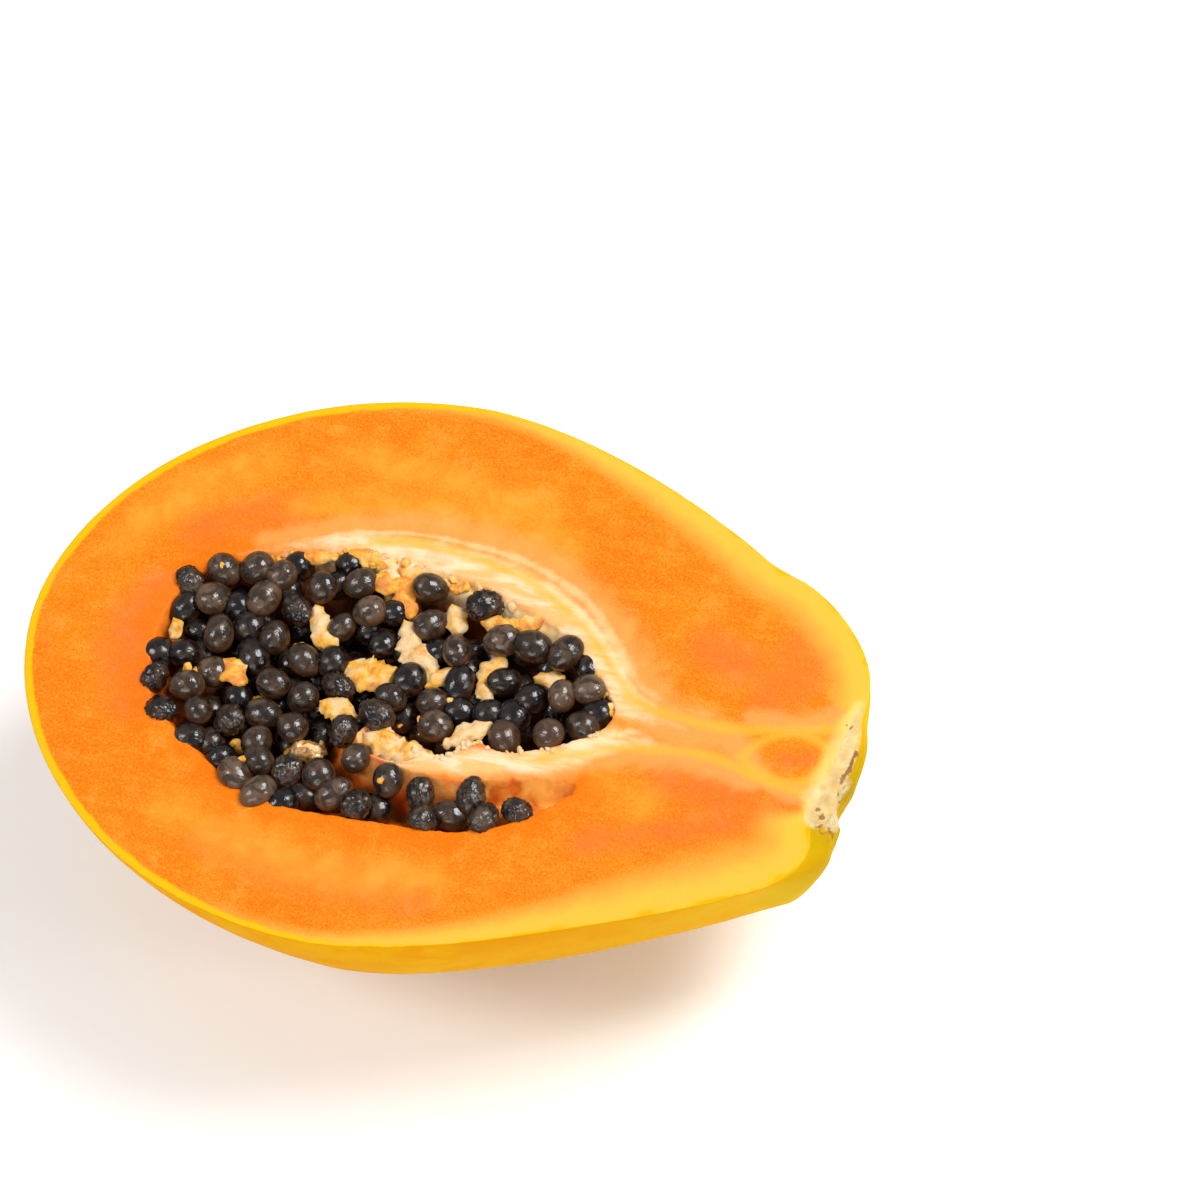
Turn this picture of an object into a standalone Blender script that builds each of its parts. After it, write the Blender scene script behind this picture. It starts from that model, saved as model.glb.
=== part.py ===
"""Half of a ripe papaya, cut lengthwise and lying on its skin, with the seeds in its hollow.

X runs along the fruit from the blossom end to the stem end, Y across it and Z up.
The cut face is level, and the origin is under the middle of the fruit, where it rests.
"""

import math
import random

import bmesh
import bpy
import numpy as np
from mathutils import Matrix, Vector

MM = 0.001

# The fruit: places along its axis are measured from the blossom tip
STEM_END_AT = 152.6 * MM
WIDEST_AT = 70 * MM
MIDDLE_AT = 77.4 * MM
HALF_WIDTH = 54 * MM
DEPTH = 53.2 * MM
BLOSSOM_FULLNESS = 1.06
NECK_TAPER = 0.61
NECK_POWER = 1.6
SHOULDER_RADIUS = 6 * MM
STEM_DISH_DEPTH = 2.5 * MM
STEM_LEAN = 5.2 * MM
STEM_SLANT = 0.12
BELLY_SHIFT = 0.085
RIB_COUNT = 5
RIB_SHARE = 0.006
STEM_RIB_SHARE = 0.05

# The flat spot that the fruit has settled on, and the cut just above the fruit's axis
FLAT_SPOT_DEPTH = 1.1 * MM
CUT_ABOVE_AXIS = 0.4 * MM
CUT_HEIGHT = DEPTH - FLAT_SPOT_DEPTH + CUT_ABOVE_AXIS

# The seed hollow: an oval bowl, with a tongue of flesh left standing at its stem end
HOLLOW_CENTRE = Vector((-10.1 * MM, -4.5 * MM, CUT_HEIGHT - CUT_ABOVE_AXIS))
HOLLOW_RADII = Vector((43.6 * MM, 26.6 * MM, 12.1 * MM))
HOLLOW_TAPER = 0.08
TONGUE_CENTRE = Vector((20 * MM, -13.6 * MM, CUT_HEIGHT - 9 * MM))
TONGUE_RADII = Vector((32 * MM, 5.2 * MM, 10.4 * MM))
TONGUE_TURN = math.radians(8)

# The seeds on the floor of the hollow, each in its jelly coat
SEED_COUNT = 50
SEED_RADII = Vector((3.1 * MM, 2.7 * MM, 2.6 * MM))
SEED_NARROWING = 0.08
SEED_SIZE_SPREAD = 0.1
SEED_SEAT = 3.15 * MM
SEED_BELOW_CUT = 3.7 * MM
SEED_CLEAR_OF_TONGUE = 3.6 * MM
SEED_SPACING = 6.8 * MM
PUSH_ROUNDS = 150
SEAT_PITCH = 0.5 * MM
CHANCE = 7

# How finely the shapes are divided
TURN_STEPS = 48
DISH_STEPS = 5
SHOULDER_STEPS = 4
FLANK_STEPS = 13
BLOSSOM_STEPS = 13
OVAL_STEPS = 44
OVAL_RINGS = 28
MERGE_DISTANCE = 0.01 * MM

SKIN_COLOUR = (0.90, 0.52, 0.03, 1.0)
FLESH_COLOUR = (0.95, 0.33, 0.04, 1.0)
SEED_COLOUR = (0.035, 0.028, 0.022, 1.0)


def clear_scene():
    for item in list(bpy.data.objects):
        bpy.data.objects.remove(item, do_unlink=True)


def new_collection(name):
    collection = bpy.data.collections.new(name)
    bpy.context.scene.collection.children.link(collection)
    return collection


def material(name, colour, roughness):
    made = bpy.data.materials.new(name)
    made.use_nodes = True
    shader = made.node_tree.nodes["Principled BSDF"]
    shader.inputs["Base Color"].default_value = colour
    shader.inputs["Roughness"].default_value = roughness
    shader.inputs["Metallic"].default_value = 0.0
    made.diffuse_color = colour
    return made


def object_from(shape, name, collection, surface):
    mesh = bpy.data.meshes.new(name)
    shape.to_mesh(mesh)
    shape.free()
    mesh.materials.append(surface)
    made = bpy.data.objects.new(name, mesh)
    collection.objects.link(made)
    return made


def flank_radius(at):
    """Half-width of the fruit between its widest place and the stem end."""
    share = (at - WIDEST_AT) / (STEM_END_AT - WIDEST_AT)
    return HALF_WIDTH * (1 - NECK_TAPER * share ** NECK_POWER)


def flank_slope(at):
    """Angle at which the flank closes towards the axis."""
    share = (at - WIDEST_AT) / (STEM_END_AT - WIDEST_AT)
    rise = NECK_POWER * share ** (NECK_POWER - 1) / (STEM_END_AT - WIDEST_AT)
    return math.atan(HALF_WIDTH * NECK_TAPER * rise)


def turned_profile():
    """(radius, place along the axis) from the middle of the stem end down to the blossom tip."""
    end_slope = flank_slope(STEM_END_AT)
    shoulder_at = STEM_END_AT - SHOULDER_RADIUS * (1 - math.sin(end_slope))
    turn_at = STEM_END_AT - SHOULDER_RADIUS
    rim_radius = flank_radius(shoulder_at) - SHOULDER_RADIUS * math.cos(end_slope)
    points = []
    for step in range(DISH_STEPS):
        share = step / DISH_STEPS
        dip = STEM_DISH_DEPTH * (1 + math.cos(math.pi * share)) / 2
        points.append((rim_radius * share, STEM_END_AT - dip))
    for step in range(SHOULDER_STEPS + 1):
        angle = math.pi / 2 + (end_slope - math.pi / 2) * step / SHOULDER_STEPS
        out = SHOULDER_RADIUS * math.cos(angle)
        points.append((rim_radius + out, turn_at + SHOULDER_RADIUS * math.sin(angle)))
    for step in range(1, FLANK_STEPS):
        at = shoulder_at + (WIDEST_AT - shoulder_at) * step / FLANK_STEPS
        points.append((flank_radius(at), at))
    for step in range(BLOSSOM_STEPS):
        angle = math.pi / 2 * (1 - step / BLOSSOM_STEPS)
        radius = HALF_WIDTH * math.sin(angle) ** BLOSSOM_FULLNESS
        points.append((radius, WIDEST_AT * (1 - math.cos(angle))))
    points.append((0, 0))
    return points


def turned_body(collection):
    """The whole fruit as a turned shape standing on its blossom tip."""
    profile = turned_profile()
    mesh = bpy.data.meshes.new("profile")
    edges = [(step, step + 1) for step in range(len(profile) - 1)]
    mesh.from_pydata([(radius, 0, at) for radius, at in profile], edges, [])
    turned = bpy.data.objects.new("profile", mesh)
    collection.objects.link(turned)
    screw = turned.modifiers.new("turn", "SCREW")
    screw.axis = "Z"
    screw.angle = 2 * math.pi
    screw.steps = TURN_STEPS
    screw.render_steps = TURN_STEPS
    screw.use_merge_vertices = True
    screw.merge_threshold = MERGE_DISTANCE
    evaluated = turned.evaluated_get(bpy.context.evaluated_depsgraph_get())
    body = bmesh.new()
    body.from_mesh(bpy.data.meshes.new_from_object(evaluated))
    bpy.data.objects.remove(turned, do_unlink=True)
    bmesh.ops.remove_doubles(body, verts=body.verts, dist=MERGE_DISTANCE)
    return body


def place_on_fruit(point):
    """Lays a point of the turned shape along X, and gives it the ribs, the belly and the lean."""
    half_step = math.pi / TURN_STEPS
    angle = math.atan2(point.y, point.x) + half_step
    share = max(0.0, (point.z - WIDEST_AT) / (STEM_END_AT - WIDEST_AT))
    rib = (RIB_SHARE + STEM_RIB_SHARE * share ** 2) * math.cos(RIB_COUNT * (angle - math.pi / 2))
    radius = math.hypot(point.x, point.y) * (1 + rib)
    belly = 1 + BELLY_SHIFT * (point.z - WIDEST_AT) / WIDEST_AT
    across = radius * math.cos(angle)
    height = radius * math.sin(angle) * belly * DEPTH / HALF_WIDTH
    lean = STEM_LEAN * share ** 2
    lean_slope = 2 * STEM_LEAN * share / (STEM_END_AT - WIDEST_AT)
    along = point.z - MIDDLE_AT + across * lean_slope + height * STEM_SLANT * share ** 2
    return Vector((along, across - lean, CUT_HEIGHT - CUT_ABOVE_AXIS + height))


def cut_with(target, cutter, operation):
    cutter.hide_render = True
    cutter.display_type = "WIRE"
    boolean = target.modifiers.new(cutter.name, "BOOLEAN")
    boolean.operation = operation
    boolean.solver = "EXACT"
    boolean.material_mode = "TRANSFER"
    boolean.object = cutter


def box(low, high, name, collection, surface):
    shape = bmesh.new()
    bmesh.ops.create_cube(shape, size=1)
    low, high = Vector(low), Vector(high)
    size = Matrix.Diagonal(high - low).to_4x4()
    shape.transform(Matrix.Translation((low + high) / 2) @ size)
    return object_from(shape, name, collection, surface)


def oval(radii, place, taper, name, collection, surface):
    """An ellipsoid with its poles along X, narrowed towards +X by the taper."""
    shape = bmesh.new()
    bmesh.ops.create_uvsphere(shape, u_segments=OVAL_STEPS, v_segments=OVAL_RINGS, radius=1)
    half_step = Matrix.Rotation(math.pi / OVAL_STEPS, 4, "Z")
    shape.transform(Matrix.Rotation(math.pi / 2, 4, "Y") @ half_step)
    for corner in shape.verts:
        corner.co.y *= 1 - taper * corner.co.x
    shape.transform(place @ Matrix.Diagonal(radii).to_4x4())
    return object_from(shape, name, collection, surface)


def tongue_place():
    """Turns the tongue's own axes to where it stands in the hollow."""
    return Matrix.Translation(TONGUE_CENTRE) @ Matrix.Rotation(TONGUE_TURN, 4, "Z")


def half_fruit(parts, cutters, skin, flesh):
    body = turned_body(cutters)
    for corner in body.verts:
        corner.co = place_on_fruit(corner.co)
    bmesh.ops.recalc_face_normals(body, faces=body.faces)
    fruit = object_from(body, "half_fruit", parts, skin)
    fruit.data.materials.append(flesh)
    reach = 2 * HALF_WIDTH
    bowl = Matrix.Translation(HOLLOW_CENTRE)
    hollow = oval(HOLLOW_RADII, bowl, HOLLOW_TAPER, "hollow_cutter", cutters, flesh)
    tongue = oval(TONGUE_RADII, tongue_place(), 0, "tongue_former", cutters, flesh)
    knife = box((-reach, -reach, CUT_HEIGHT), (reach, reach, 3 * DEPTH), "knife", cutters, flesh)
    table = box((-reach, -reach, -DEPTH), (reach, reach, 0), "table", cutters, skin)
    cut_with(fruit, hollow, "DIFFERENCE")
    cut_with(fruit, tongue, "UNION")
    cut_with(fruit, knife, "DIFFERENCE")
    cut_with(fruit, table, "DIFFERENCE")
    fruit.data.shade_smooth()


def scaled_length(offset, radii):
    """Under 1 inside the ellipsoid with these radii, and over 1 outside it."""
    return math.sqrt(sum((offset[axis] / radii[axis]) ** 2 for axis in range(3)))


def seats():
    """Places for a seed's middle over the floor of the hollow, each with the floor's normal."""
    found = []
    tongue_reach = TONGUE_RADII + Vector((SEED_CLEAR_OF_TONGUE,) * 3)
    to_tongue = tongue_place().inverted()
    columns = int(HOLLOW_RADII.x / SEAT_PITCH)
    rows = int(HOLLOW_RADII.y / SEAT_PITCH)
    for column in range(-columns, columns + 1):
        for row in range(-rows, rows + 1):
            across = Vector((column * SEAT_PITCH, row * SEAT_PITCH, 0))
            spread = scaled_length(across, HOLLOW_RADII)
            if spread >= 1:
                continue
            floor = across - Vector((0, 0, HOLLOW_RADII.z * math.sqrt(1 - spread ** 2)))
            normal = Vector([-floor[axis] / HOLLOW_RADII[axis] ** 2 for axis in range(3)])
            normal.normalize()
            floor.y *= 1 - HOLLOW_TAPER * floor.x / HOLLOW_RADII.x
            place = HOLLOW_CENTRE + floor + normal * SEED_SEAT
            off_tongue = scaled_length(to_tongue @ place, tongue_reach) > 1
            if place.z < CUT_HEIGHT - SEED_BELOW_CUT and off_tongue:
                found.append((place, normal))
    return found


def spread_out(table, count):
    """Rows of the table that lie far apart: each is the one furthest from all chosen before it."""
    chosen = [int(np.argmin(np.linalg.norm(table - table.mean(axis=0), axis=1)))]
    nearest = np.linalg.norm(table - table[chosen[0]], axis=1)
    while len(chosen) < count:
        furthest = int(np.argmax(nearest))
        chosen.append(furthest)
        nearest = np.minimum(nearest, np.linalg.norm(table - table[furthest], axis=1))
    return chosen


def push_apart(table, chosen):
    """Moves crowded seeds away from their neighbours, from seat to seat, until they have room."""
    for _ in range(PUSH_ROUNDS):
        now = table[chosen]
        offsets = now[:, None, :] - now[None, :, :]
        distances = np.linalg.norm(offsets, axis=2) + np.eye(len(chosen))
        shortfall = np.clip(SEED_SPACING - distances, 0, None) * (1 - np.eye(len(chosen)))
        pushes = (offsets * (shortfall / distances / 2)[:, :, None]).sum(axis=1)
        wanted = now + pushes
        for number, place in enumerate(wanted):
            if np.any(pushes[number]):
                chosen[number] = int(np.argmin(np.linalg.norm(table - place, axis=1)))
    return chosen


def seed_mesh(surface):
    """An oval seed, a little narrower at the end by which it hung."""
    shape = bmesh.new()
    bmesh.ops.create_icosphere(shape, subdivisions=2, radius=1)
    for corner in shape.verts:
        narrowing = 1 - SEED_NARROWING * corner.co.x
        corner.co.y *= narrowing
        corner.co.z *= narrowing
    shape.transform(Matrix.Diagonal(SEED_RADII).to_4x4())
    mesh = bpy.data.meshes.new("seed")
    shape.to_mesh(mesh)
    shape.free()
    mesh.materials.append(surface)
    mesh.shade_smooth()
    return mesh


def seeds(parts, surface):
    chance = random.Random(CHANCE)
    mesh = seed_mesh(surface)
    places = seats()
    table = np.array([tuple(place) for place, normal in places])
    chosen = push_apart(table, spread_out(table, SEED_COUNT))
    for number, index in enumerate(chosen, start=1):
        place, normal = places[index]
        seed = bpy.data.objects.new(f"seed_{number:02d}", mesh)
        parts.objects.link(seed)
        seed.location = place
        seed.rotation_mode = "QUATERNION"
        turn = Matrix.Rotation(chance.uniform(0, 2 * math.pi), 3, "Z").to_quaternion()
        seed.rotation_quaternion = normal.to_track_quat("Z", "Y") @ turn
        size = 1 - chance.uniform(0, SEED_SIZE_SPREAD)
        seed.scale = (size, size, size)


def build():
    clear_scene()
    parts = new_collection("papaya_half")
    cutters = new_collection("cutters")
    skin = material("papaya_skin", SKIN_COLOUR, 0.4)
    flesh = material("papaya_flesh", FLESH_COLOUR, 0.35)
    jelly = material("seed_jelly", SEED_COLOUR, 0.15)
    half_fruit(parts, cutters, skin, flesh)
    seeds(parts, jelly)


build()
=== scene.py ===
"""Half of a ripe papaya, cut lengthwise, with the seeds in its hollow: the finished look.

X runs from the blossom end to the stem end, Y across the fruit and Z up.
"""

import math

import bpy
import numpy as np
from mathutils import Matrix, Vector, noise
from mathutils.bvhtree import BVHTree
from mathutils.geometry import delaunay_2d_cdt
from mathutils.kdtree import KDTree


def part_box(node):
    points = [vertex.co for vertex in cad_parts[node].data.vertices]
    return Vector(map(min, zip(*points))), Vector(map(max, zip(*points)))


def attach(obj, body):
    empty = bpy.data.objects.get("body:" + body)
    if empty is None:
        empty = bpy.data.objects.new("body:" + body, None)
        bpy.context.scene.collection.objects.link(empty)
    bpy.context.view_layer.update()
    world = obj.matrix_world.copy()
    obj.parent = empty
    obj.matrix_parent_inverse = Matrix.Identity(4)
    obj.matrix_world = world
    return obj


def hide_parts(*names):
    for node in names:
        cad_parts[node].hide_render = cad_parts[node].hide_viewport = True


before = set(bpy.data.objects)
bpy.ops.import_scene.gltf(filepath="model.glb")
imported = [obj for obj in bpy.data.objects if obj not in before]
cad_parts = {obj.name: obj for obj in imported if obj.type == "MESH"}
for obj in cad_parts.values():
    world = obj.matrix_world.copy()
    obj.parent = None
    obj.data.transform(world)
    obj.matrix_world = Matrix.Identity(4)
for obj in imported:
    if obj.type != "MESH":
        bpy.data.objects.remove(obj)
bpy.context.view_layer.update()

MM = 0.001
FRUIT_LOW, FRUIT_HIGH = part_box("half_fruit")
CUT_HEIGHT = FRUIT_HIGH.z
SEED_NODES = sorted(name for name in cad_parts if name.startswith("seed_"))

# The turned outline of the fruit, measured from the blossom tip
MIDDLE_AT = -FRUIT_LOW.x
STEM_END_AT = 152.6 * MM
WIDEST_AT = 70 * MM
HALF_WIDTH = 54 * MM
DEPTH = 53.2 * MM
BLOSSOM_FULLNESS = 1.06
NECK_TAPER = 0.61
NECK_POWER = 1.6
SHOULDER_RADIUS = 6 * MM
STEM_DISH_DEPTH = 2.5 * MM
STEM_LEAN = 5.2 * MM
STEM_SLANT = 0.12
BELLY_SHIFT = 0.085
RIB_COUNT = 5
RIB_SHARE = 0.006
STEM_RIB_SHARE = 0.05
CUT_ABOVE_AXIS = 0.4 * MM

# How finely the skin and the lines on it are divided
DISH_STEPS, SHOULDER_STEPS, FLANK_STEPS = 16, 14, 90
SURFACE_TURNS = 288
RIM_RAYS = 1440
ROUND_STEPS = 480
DOWN_STEPS = 62
THINNED_RINGS = (26, 46)
CORNER_STEPS = 16
LINE_STEP = 0.15 * MM
EDGE_STEP = 0.34 * MM
HEX_ROW = 0.866

# The opening of the hollow in the cut face, clockwise from the root of the tongue, in millimetres
HOLLOW_WALL = [
    (31.5, -14.3), (30.8, -17.5), (27.5, -21), (21, -25.3), (13, -28.4), (4, -29.2), (-8, -29.8),
    (-19, -30), (-28, -28.2), (-37, -23.4), (-45.5, -18), (-50.5, -13), (-52.8, -6), (-53.2, 1), (-52, 7),
    (-47.5, 13), (-40, 16.6), (-29, 20.4), (-18, 22), (-8, 20.8), (3, 19), (14, 15.8), (24, 10.4), (31, 4),
    (34, -0.5), (33.6, -3),
]
TONGUE_EDGE = [
    (33.6, -3), (31, -5.8), (24, -9.7), (17, -12), (12, -11.2), (9.5, -12.4), (6.5, -14.9), (1, -14.3),
    (-4, -12.4), (-8, -11.6), (-9.8, -13.6), (-8.2, -16.2), (-3, -17.4), (4, -18.3), (10, -18.4),
    (17, -16.7), (25, -14.6), (31.5, -14.3),
]
# Torn lining left standing along the far wall: (x, y, half width, depth of its crest), in millimetres
TISSUE = [
    [(-38, 17, 1.0, 0.9), (-28, 20, 1.7, 0.8), (-21, 21.2, 1.9, 0.6), (-13, 20.2, 2.8, 0.4),
     (-5, 19.4, 2.3, 0.8), (2, 18.0, 1.8, 1.2), (10, 16.4, 2.3, 0.8), (18, 13.2, 1.9, 1.0),
     (25, 8.8, 1.7, 1.2), (31, 3, 1.2, 1.4)],
    [(-14, 19, 3.2, 0.5), (-13, 16.6, 2.6, 0.9), (-11, 14.2, 1.7, 2.0)],
    [(4, 17.6, 1.8, 1.0), (6, 15.4, 1.6, 1.6), (8, 13.6, 1.2, 2.6)],
]
HOLLOW_DEPTH = 12.3 * MM
BOWL_WIDTH = 24 * MM
WALL_ROUNDING = 2.4 * MM
LOBE_DEPTH = 4.0 * MM
TONGUE_TIP = (-7, -14)
FAR_SIDE_SLOPE, NEAR_SIDE_SLOPE = 3.2, 1.15


def smooth(value, low, high):
    """Rises from 0 at low to 1 at high, with soft ends."""
    share = np.clip((value - low) / (high - low), 0, 1)
    return share * share * (3 - 2 * share)


def fall(value, low, high):
    """Falls from 1 at low to 0 at high, with soft ends."""
    return 1 - smooth(value, low, high)


def lumps(points, size, seed=0.0):
    """Soft noise between -1 and 1 at each point, with lumps of about this size."""
    shift = Vector((seed, 2.3 * seed, -1.7 * seed))
    return np.array([noise.noise(Vector(point) / size + shift) for point in points])


def uneven(points, *layers):
    """Lumps of several sizes added up, each given as (reach, size, seed), in millimetres."""
    return sum(reach * MM * lumps(points, size * MM, seed) for reach, size, seed in layers)


def unit(vectors):
    return vectors / np.linalg.norm(vectors, axis=1)[:, None]


def in_space(points):
    """Points of the plane as points in space, at height 0."""
    return np.column_stack([points, np.zeros(len(points))])


def run_along(line):
    """The length of a line up to each of its points."""
    return np.concatenate([[0], np.cumsum(np.linalg.norm(np.diff(line, axis=0), axis=1))])


# ---------------------------------------------------------------- the outside of the fruit

def flank_radius(at):
    share = (at - WIDEST_AT) / (STEM_END_AT - WIDEST_AT)
    return HALF_WIDTH * (1 - NECK_TAPER * share ** NECK_POWER)


def outline_profile():
    """(radius, place along the axis) from the middle of the stem end to the blossom tip."""
    rise = NECK_POWER / (STEM_END_AT - WIDEST_AT)
    end_slope = math.atan(HALF_WIDTH * NECK_TAPER * rise)
    shoulder_at = STEM_END_AT - SHOULDER_RADIUS * (1 - math.sin(end_slope))
    rim_radius = flank_radius(shoulder_at) - SHOULDER_RADIUS * math.cos(end_slope)
    share = np.linspace(0, 1, DISH_STEPS, endpoint=False)
    dip = STEM_DISH_DEPTH * (1 + np.cos(np.pi * share)) / 2
    dish = np.column_stack([rim_radius * share, STEM_END_AT - dip])
    angle = np.linspace(np.pi / 2, end_slope, SHOULDER_STEPS)
    turn = np.column_stack([np.cos(angle), np.sin(angle)]) * SHOULDER_RADIUS
    shoulder = turn + (rim_radius, STEM_END_AT - SHOULDER_RADIUS)
    at = np.linspace(shoulder_at, WIDEST_AT, FLANK_STEPS)[1:-1]
    flank = np.column_stack([flank_radius(at), at])
    angle = np.linspace(np.pi / 2, 0, FLANK_STEPS)
    bulge = HALF_WIDTH * np.sin(angle) ** BLOSSOM_FULLNESS
    blossom = np.column_stack([bulge, WIDEST_AT * (1 - np.cos(angle))])
    return np.vstack([dish, shoulder, flank, blossom])


def outer_surface():
    """The whole fruit's skin as a tree that rays can be cast at."""
    angle = np.linspace(0, 2 * np.pi, SURFACE_TURNS, endpoint=False)
    radius, at = (column[:, None] for column in outline_profile().T)
    share = np.clip((at - WIDEST_AT) / (STEM_END_AT - WIDEST_AT), 0, None)
    rib = (RIB_SHARE + STEM_RIB_SHARE * share ** 2) * np.cos(RIB_COUNT * (angle - np.pi / 2))
    belly = 1 + BELLY_SHIFT * (at - WIDEST_AT) / WIDEST_AT
    across = radius * (1 + rib) * np.cos(angle)
    height = radius * (1 + rib) * np.sin(angle) * belly * DEPTH / HALF_WIDTH
    lean_slope = 2 * STEM_LEAN * share / (STEM_END_AT - WIDEST_AT)
    along = at - MIDDLE_AT + across * lean_slope + height * STEM_SLANT * share ** 2
    sideways = across - STEM_LEAN * share ** 2
    up = CUT_HEIGHT - CUT_ABOVE_AXIS + height
    points = np.stack([along, sideways, up], axis=-1)
    rows, columns = points.shape[:2]
    index = np.arange(rows * columns).reshape(rows, columns)
    after = np.roll(index, -1, axis=1)
    quads = np.stack([index[:-1], index[1:], after[1:], after[:-1]], axis=-1).reshape(-1, 4)
    return BVHTree.FromPolygons(points.reshape(-1, 3).tolist(), quads.tolist())


def even_loop(points, count=None, step=None):
    """The closed line through these points, divided again into equal steps."""
    closed = np.vstack([points, points[:1]])
    run = run_along(closed)
    count = count or int(round(run[-1] / step))
    wanted = np.linspace(0, run[-1], count, endpoint=False)
    return np.column_stack([np.interp(wanted, run, column) for column in closed.T])


def swell(place):
    """How far the grown skin stands out at a place, or in where it is under 0."""
    broad = noise.noise(place / (22 * MM)) * 0.25 * MM
    fine = noise.noise(place / (6 * MM) + Vector((9, 4, 2))) * 0.06 * MM
    return broad + fine


def skin_rings(surface):
    """Rings of points down the outside, the first one being the rim of the cut face."""
    heart = Vector((0, 0, CUT_HEIGHT))

    def skin_towards(direction):
        hit = surface.ray_cast(heart, direction)[0]
        return hit + direction * swell(hit)

    turns = np.linspace(0, 2 * np.pi, RIM_RAYS, endpoint=False)
    rim = [skin_towards(Vector((math.cos(turn), math.sin(turn), 0))) for turn in turns]
    rim = even_loop(np.array(rim), count=ROUND_STEPS)
    rings = [rim]
    for angle in np.linspace(0, 1, DOWN_STEPS + 1)[1:-1] ** 1.08 * np.pi / 2:
        ring = []
        for x, y, _ in rim:
            out = Vector((x, y, 0)) * math.cos(angle) - Vector((0, 0, CUT_HEIGHT * math.sin(angle)))
            out.normalize()
            hit = skin_towards(out)
            hit.z = max(hit.z, 0.0)
            ring.append(hit)
        rings.append(np.array(ring))
    return rings


# ---------------------------------------------------------------- the cut face and the hollow

def rounded_line(corners):
    """A smooth line through given points in millimetres, in small steps, in metres."""
    corners = [Vector(corner) * MM for corner in corners]
    corners = [2 * corners[0] - corners[1], *corners, 2 * corners[-1] - corners[-2]]
    points = []
    for a, b, c, d in zip(corners, corners[1:], corners[2:], corners[3:]):
        for part in np.linspace(0, 1, CORNER_STEPS, endpoint=False):
            points.append(0.5 * (2 * b + (c - a) * part + (2 * a - 5 * b + 4 * c - d) * part ** 2
                                 + (3 * b - a - 3 * c + d) * part ** 3))
    return np.array([*points, corners[-2]])


def distance_to(points, line, closed=False):
    """Distance of each point to a line, and the number of the line's nearest point."""
    ends = np.vstack([line, line[:1]]) if closed else line
    parts = [np.linspace(0, 1, 1 + int(np.linalg.norm(b - a) / LINE_STEP), endpoint=False)
             for a, b in zip(ends[:-1], ends[1:])]
    number = np.repeat(np.arange(len(parts)), [len(part) for part in parts])
    share = np.concatenate(parts)[:, None]
    fine = ends[number] * (1 - share) + ends[number + 1] * share
    tree = KDTree(len(fine))
    for index, (x, y) in enumerate(fine):
        tree.insert((x, y, 0), index)
    tree.balance()
    found = [tree.find((x, y, 0))[1:] for x, y in points]
    return np.array([gap for _, gap in found]), number[[index for index, _ in found]]


def inside_loop(points, loop):
    """Whether each point lies inside a closed line."""
    x, y = points[:, 0:1], points[:, 1:2]
    start, end = loop, np.roll(loop, -1, axis=0)
    crosses = (start[:, 1] > y) != (end[:, 1] > y)
    rise = np.where(end[:, 1] == start[:, 1], 1e-12, end[:, 1] - start[:, 1])
    meets = (end[:, 0] - start[:, 0]) * (y - start[:, 1]) / rise + start[:, 0]
    return (crosses & (x < meets)).sum(axis=1) % 2 == 1


def loop_normals(loop):
    """The direction square to a closed line at each of its points."""
    ahead = np.roll(loop, -1, axis=0) - np.roll(loop, 1, axis=0)
    return unit(np.column_stack([ahead[:, 1], -ahead[:, 0]]))


def ragged(loop, reach, size, seed, amount):
    """The closed line with small steps in and out, as torn tissue has."""
    flat = in_space(loop)
    shift = reach * lumps(flat, size, seed) + 0.5 * reach * lumps(flat, size / 2.7, seed + 5)
    return loop + loop_normals(loop) * (shift * amount)[:, None]


def pushed_in(loop, depth):
    """The closed line moved inwards by this much."""
    return loop - loop_normals(loop) * depth


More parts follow.
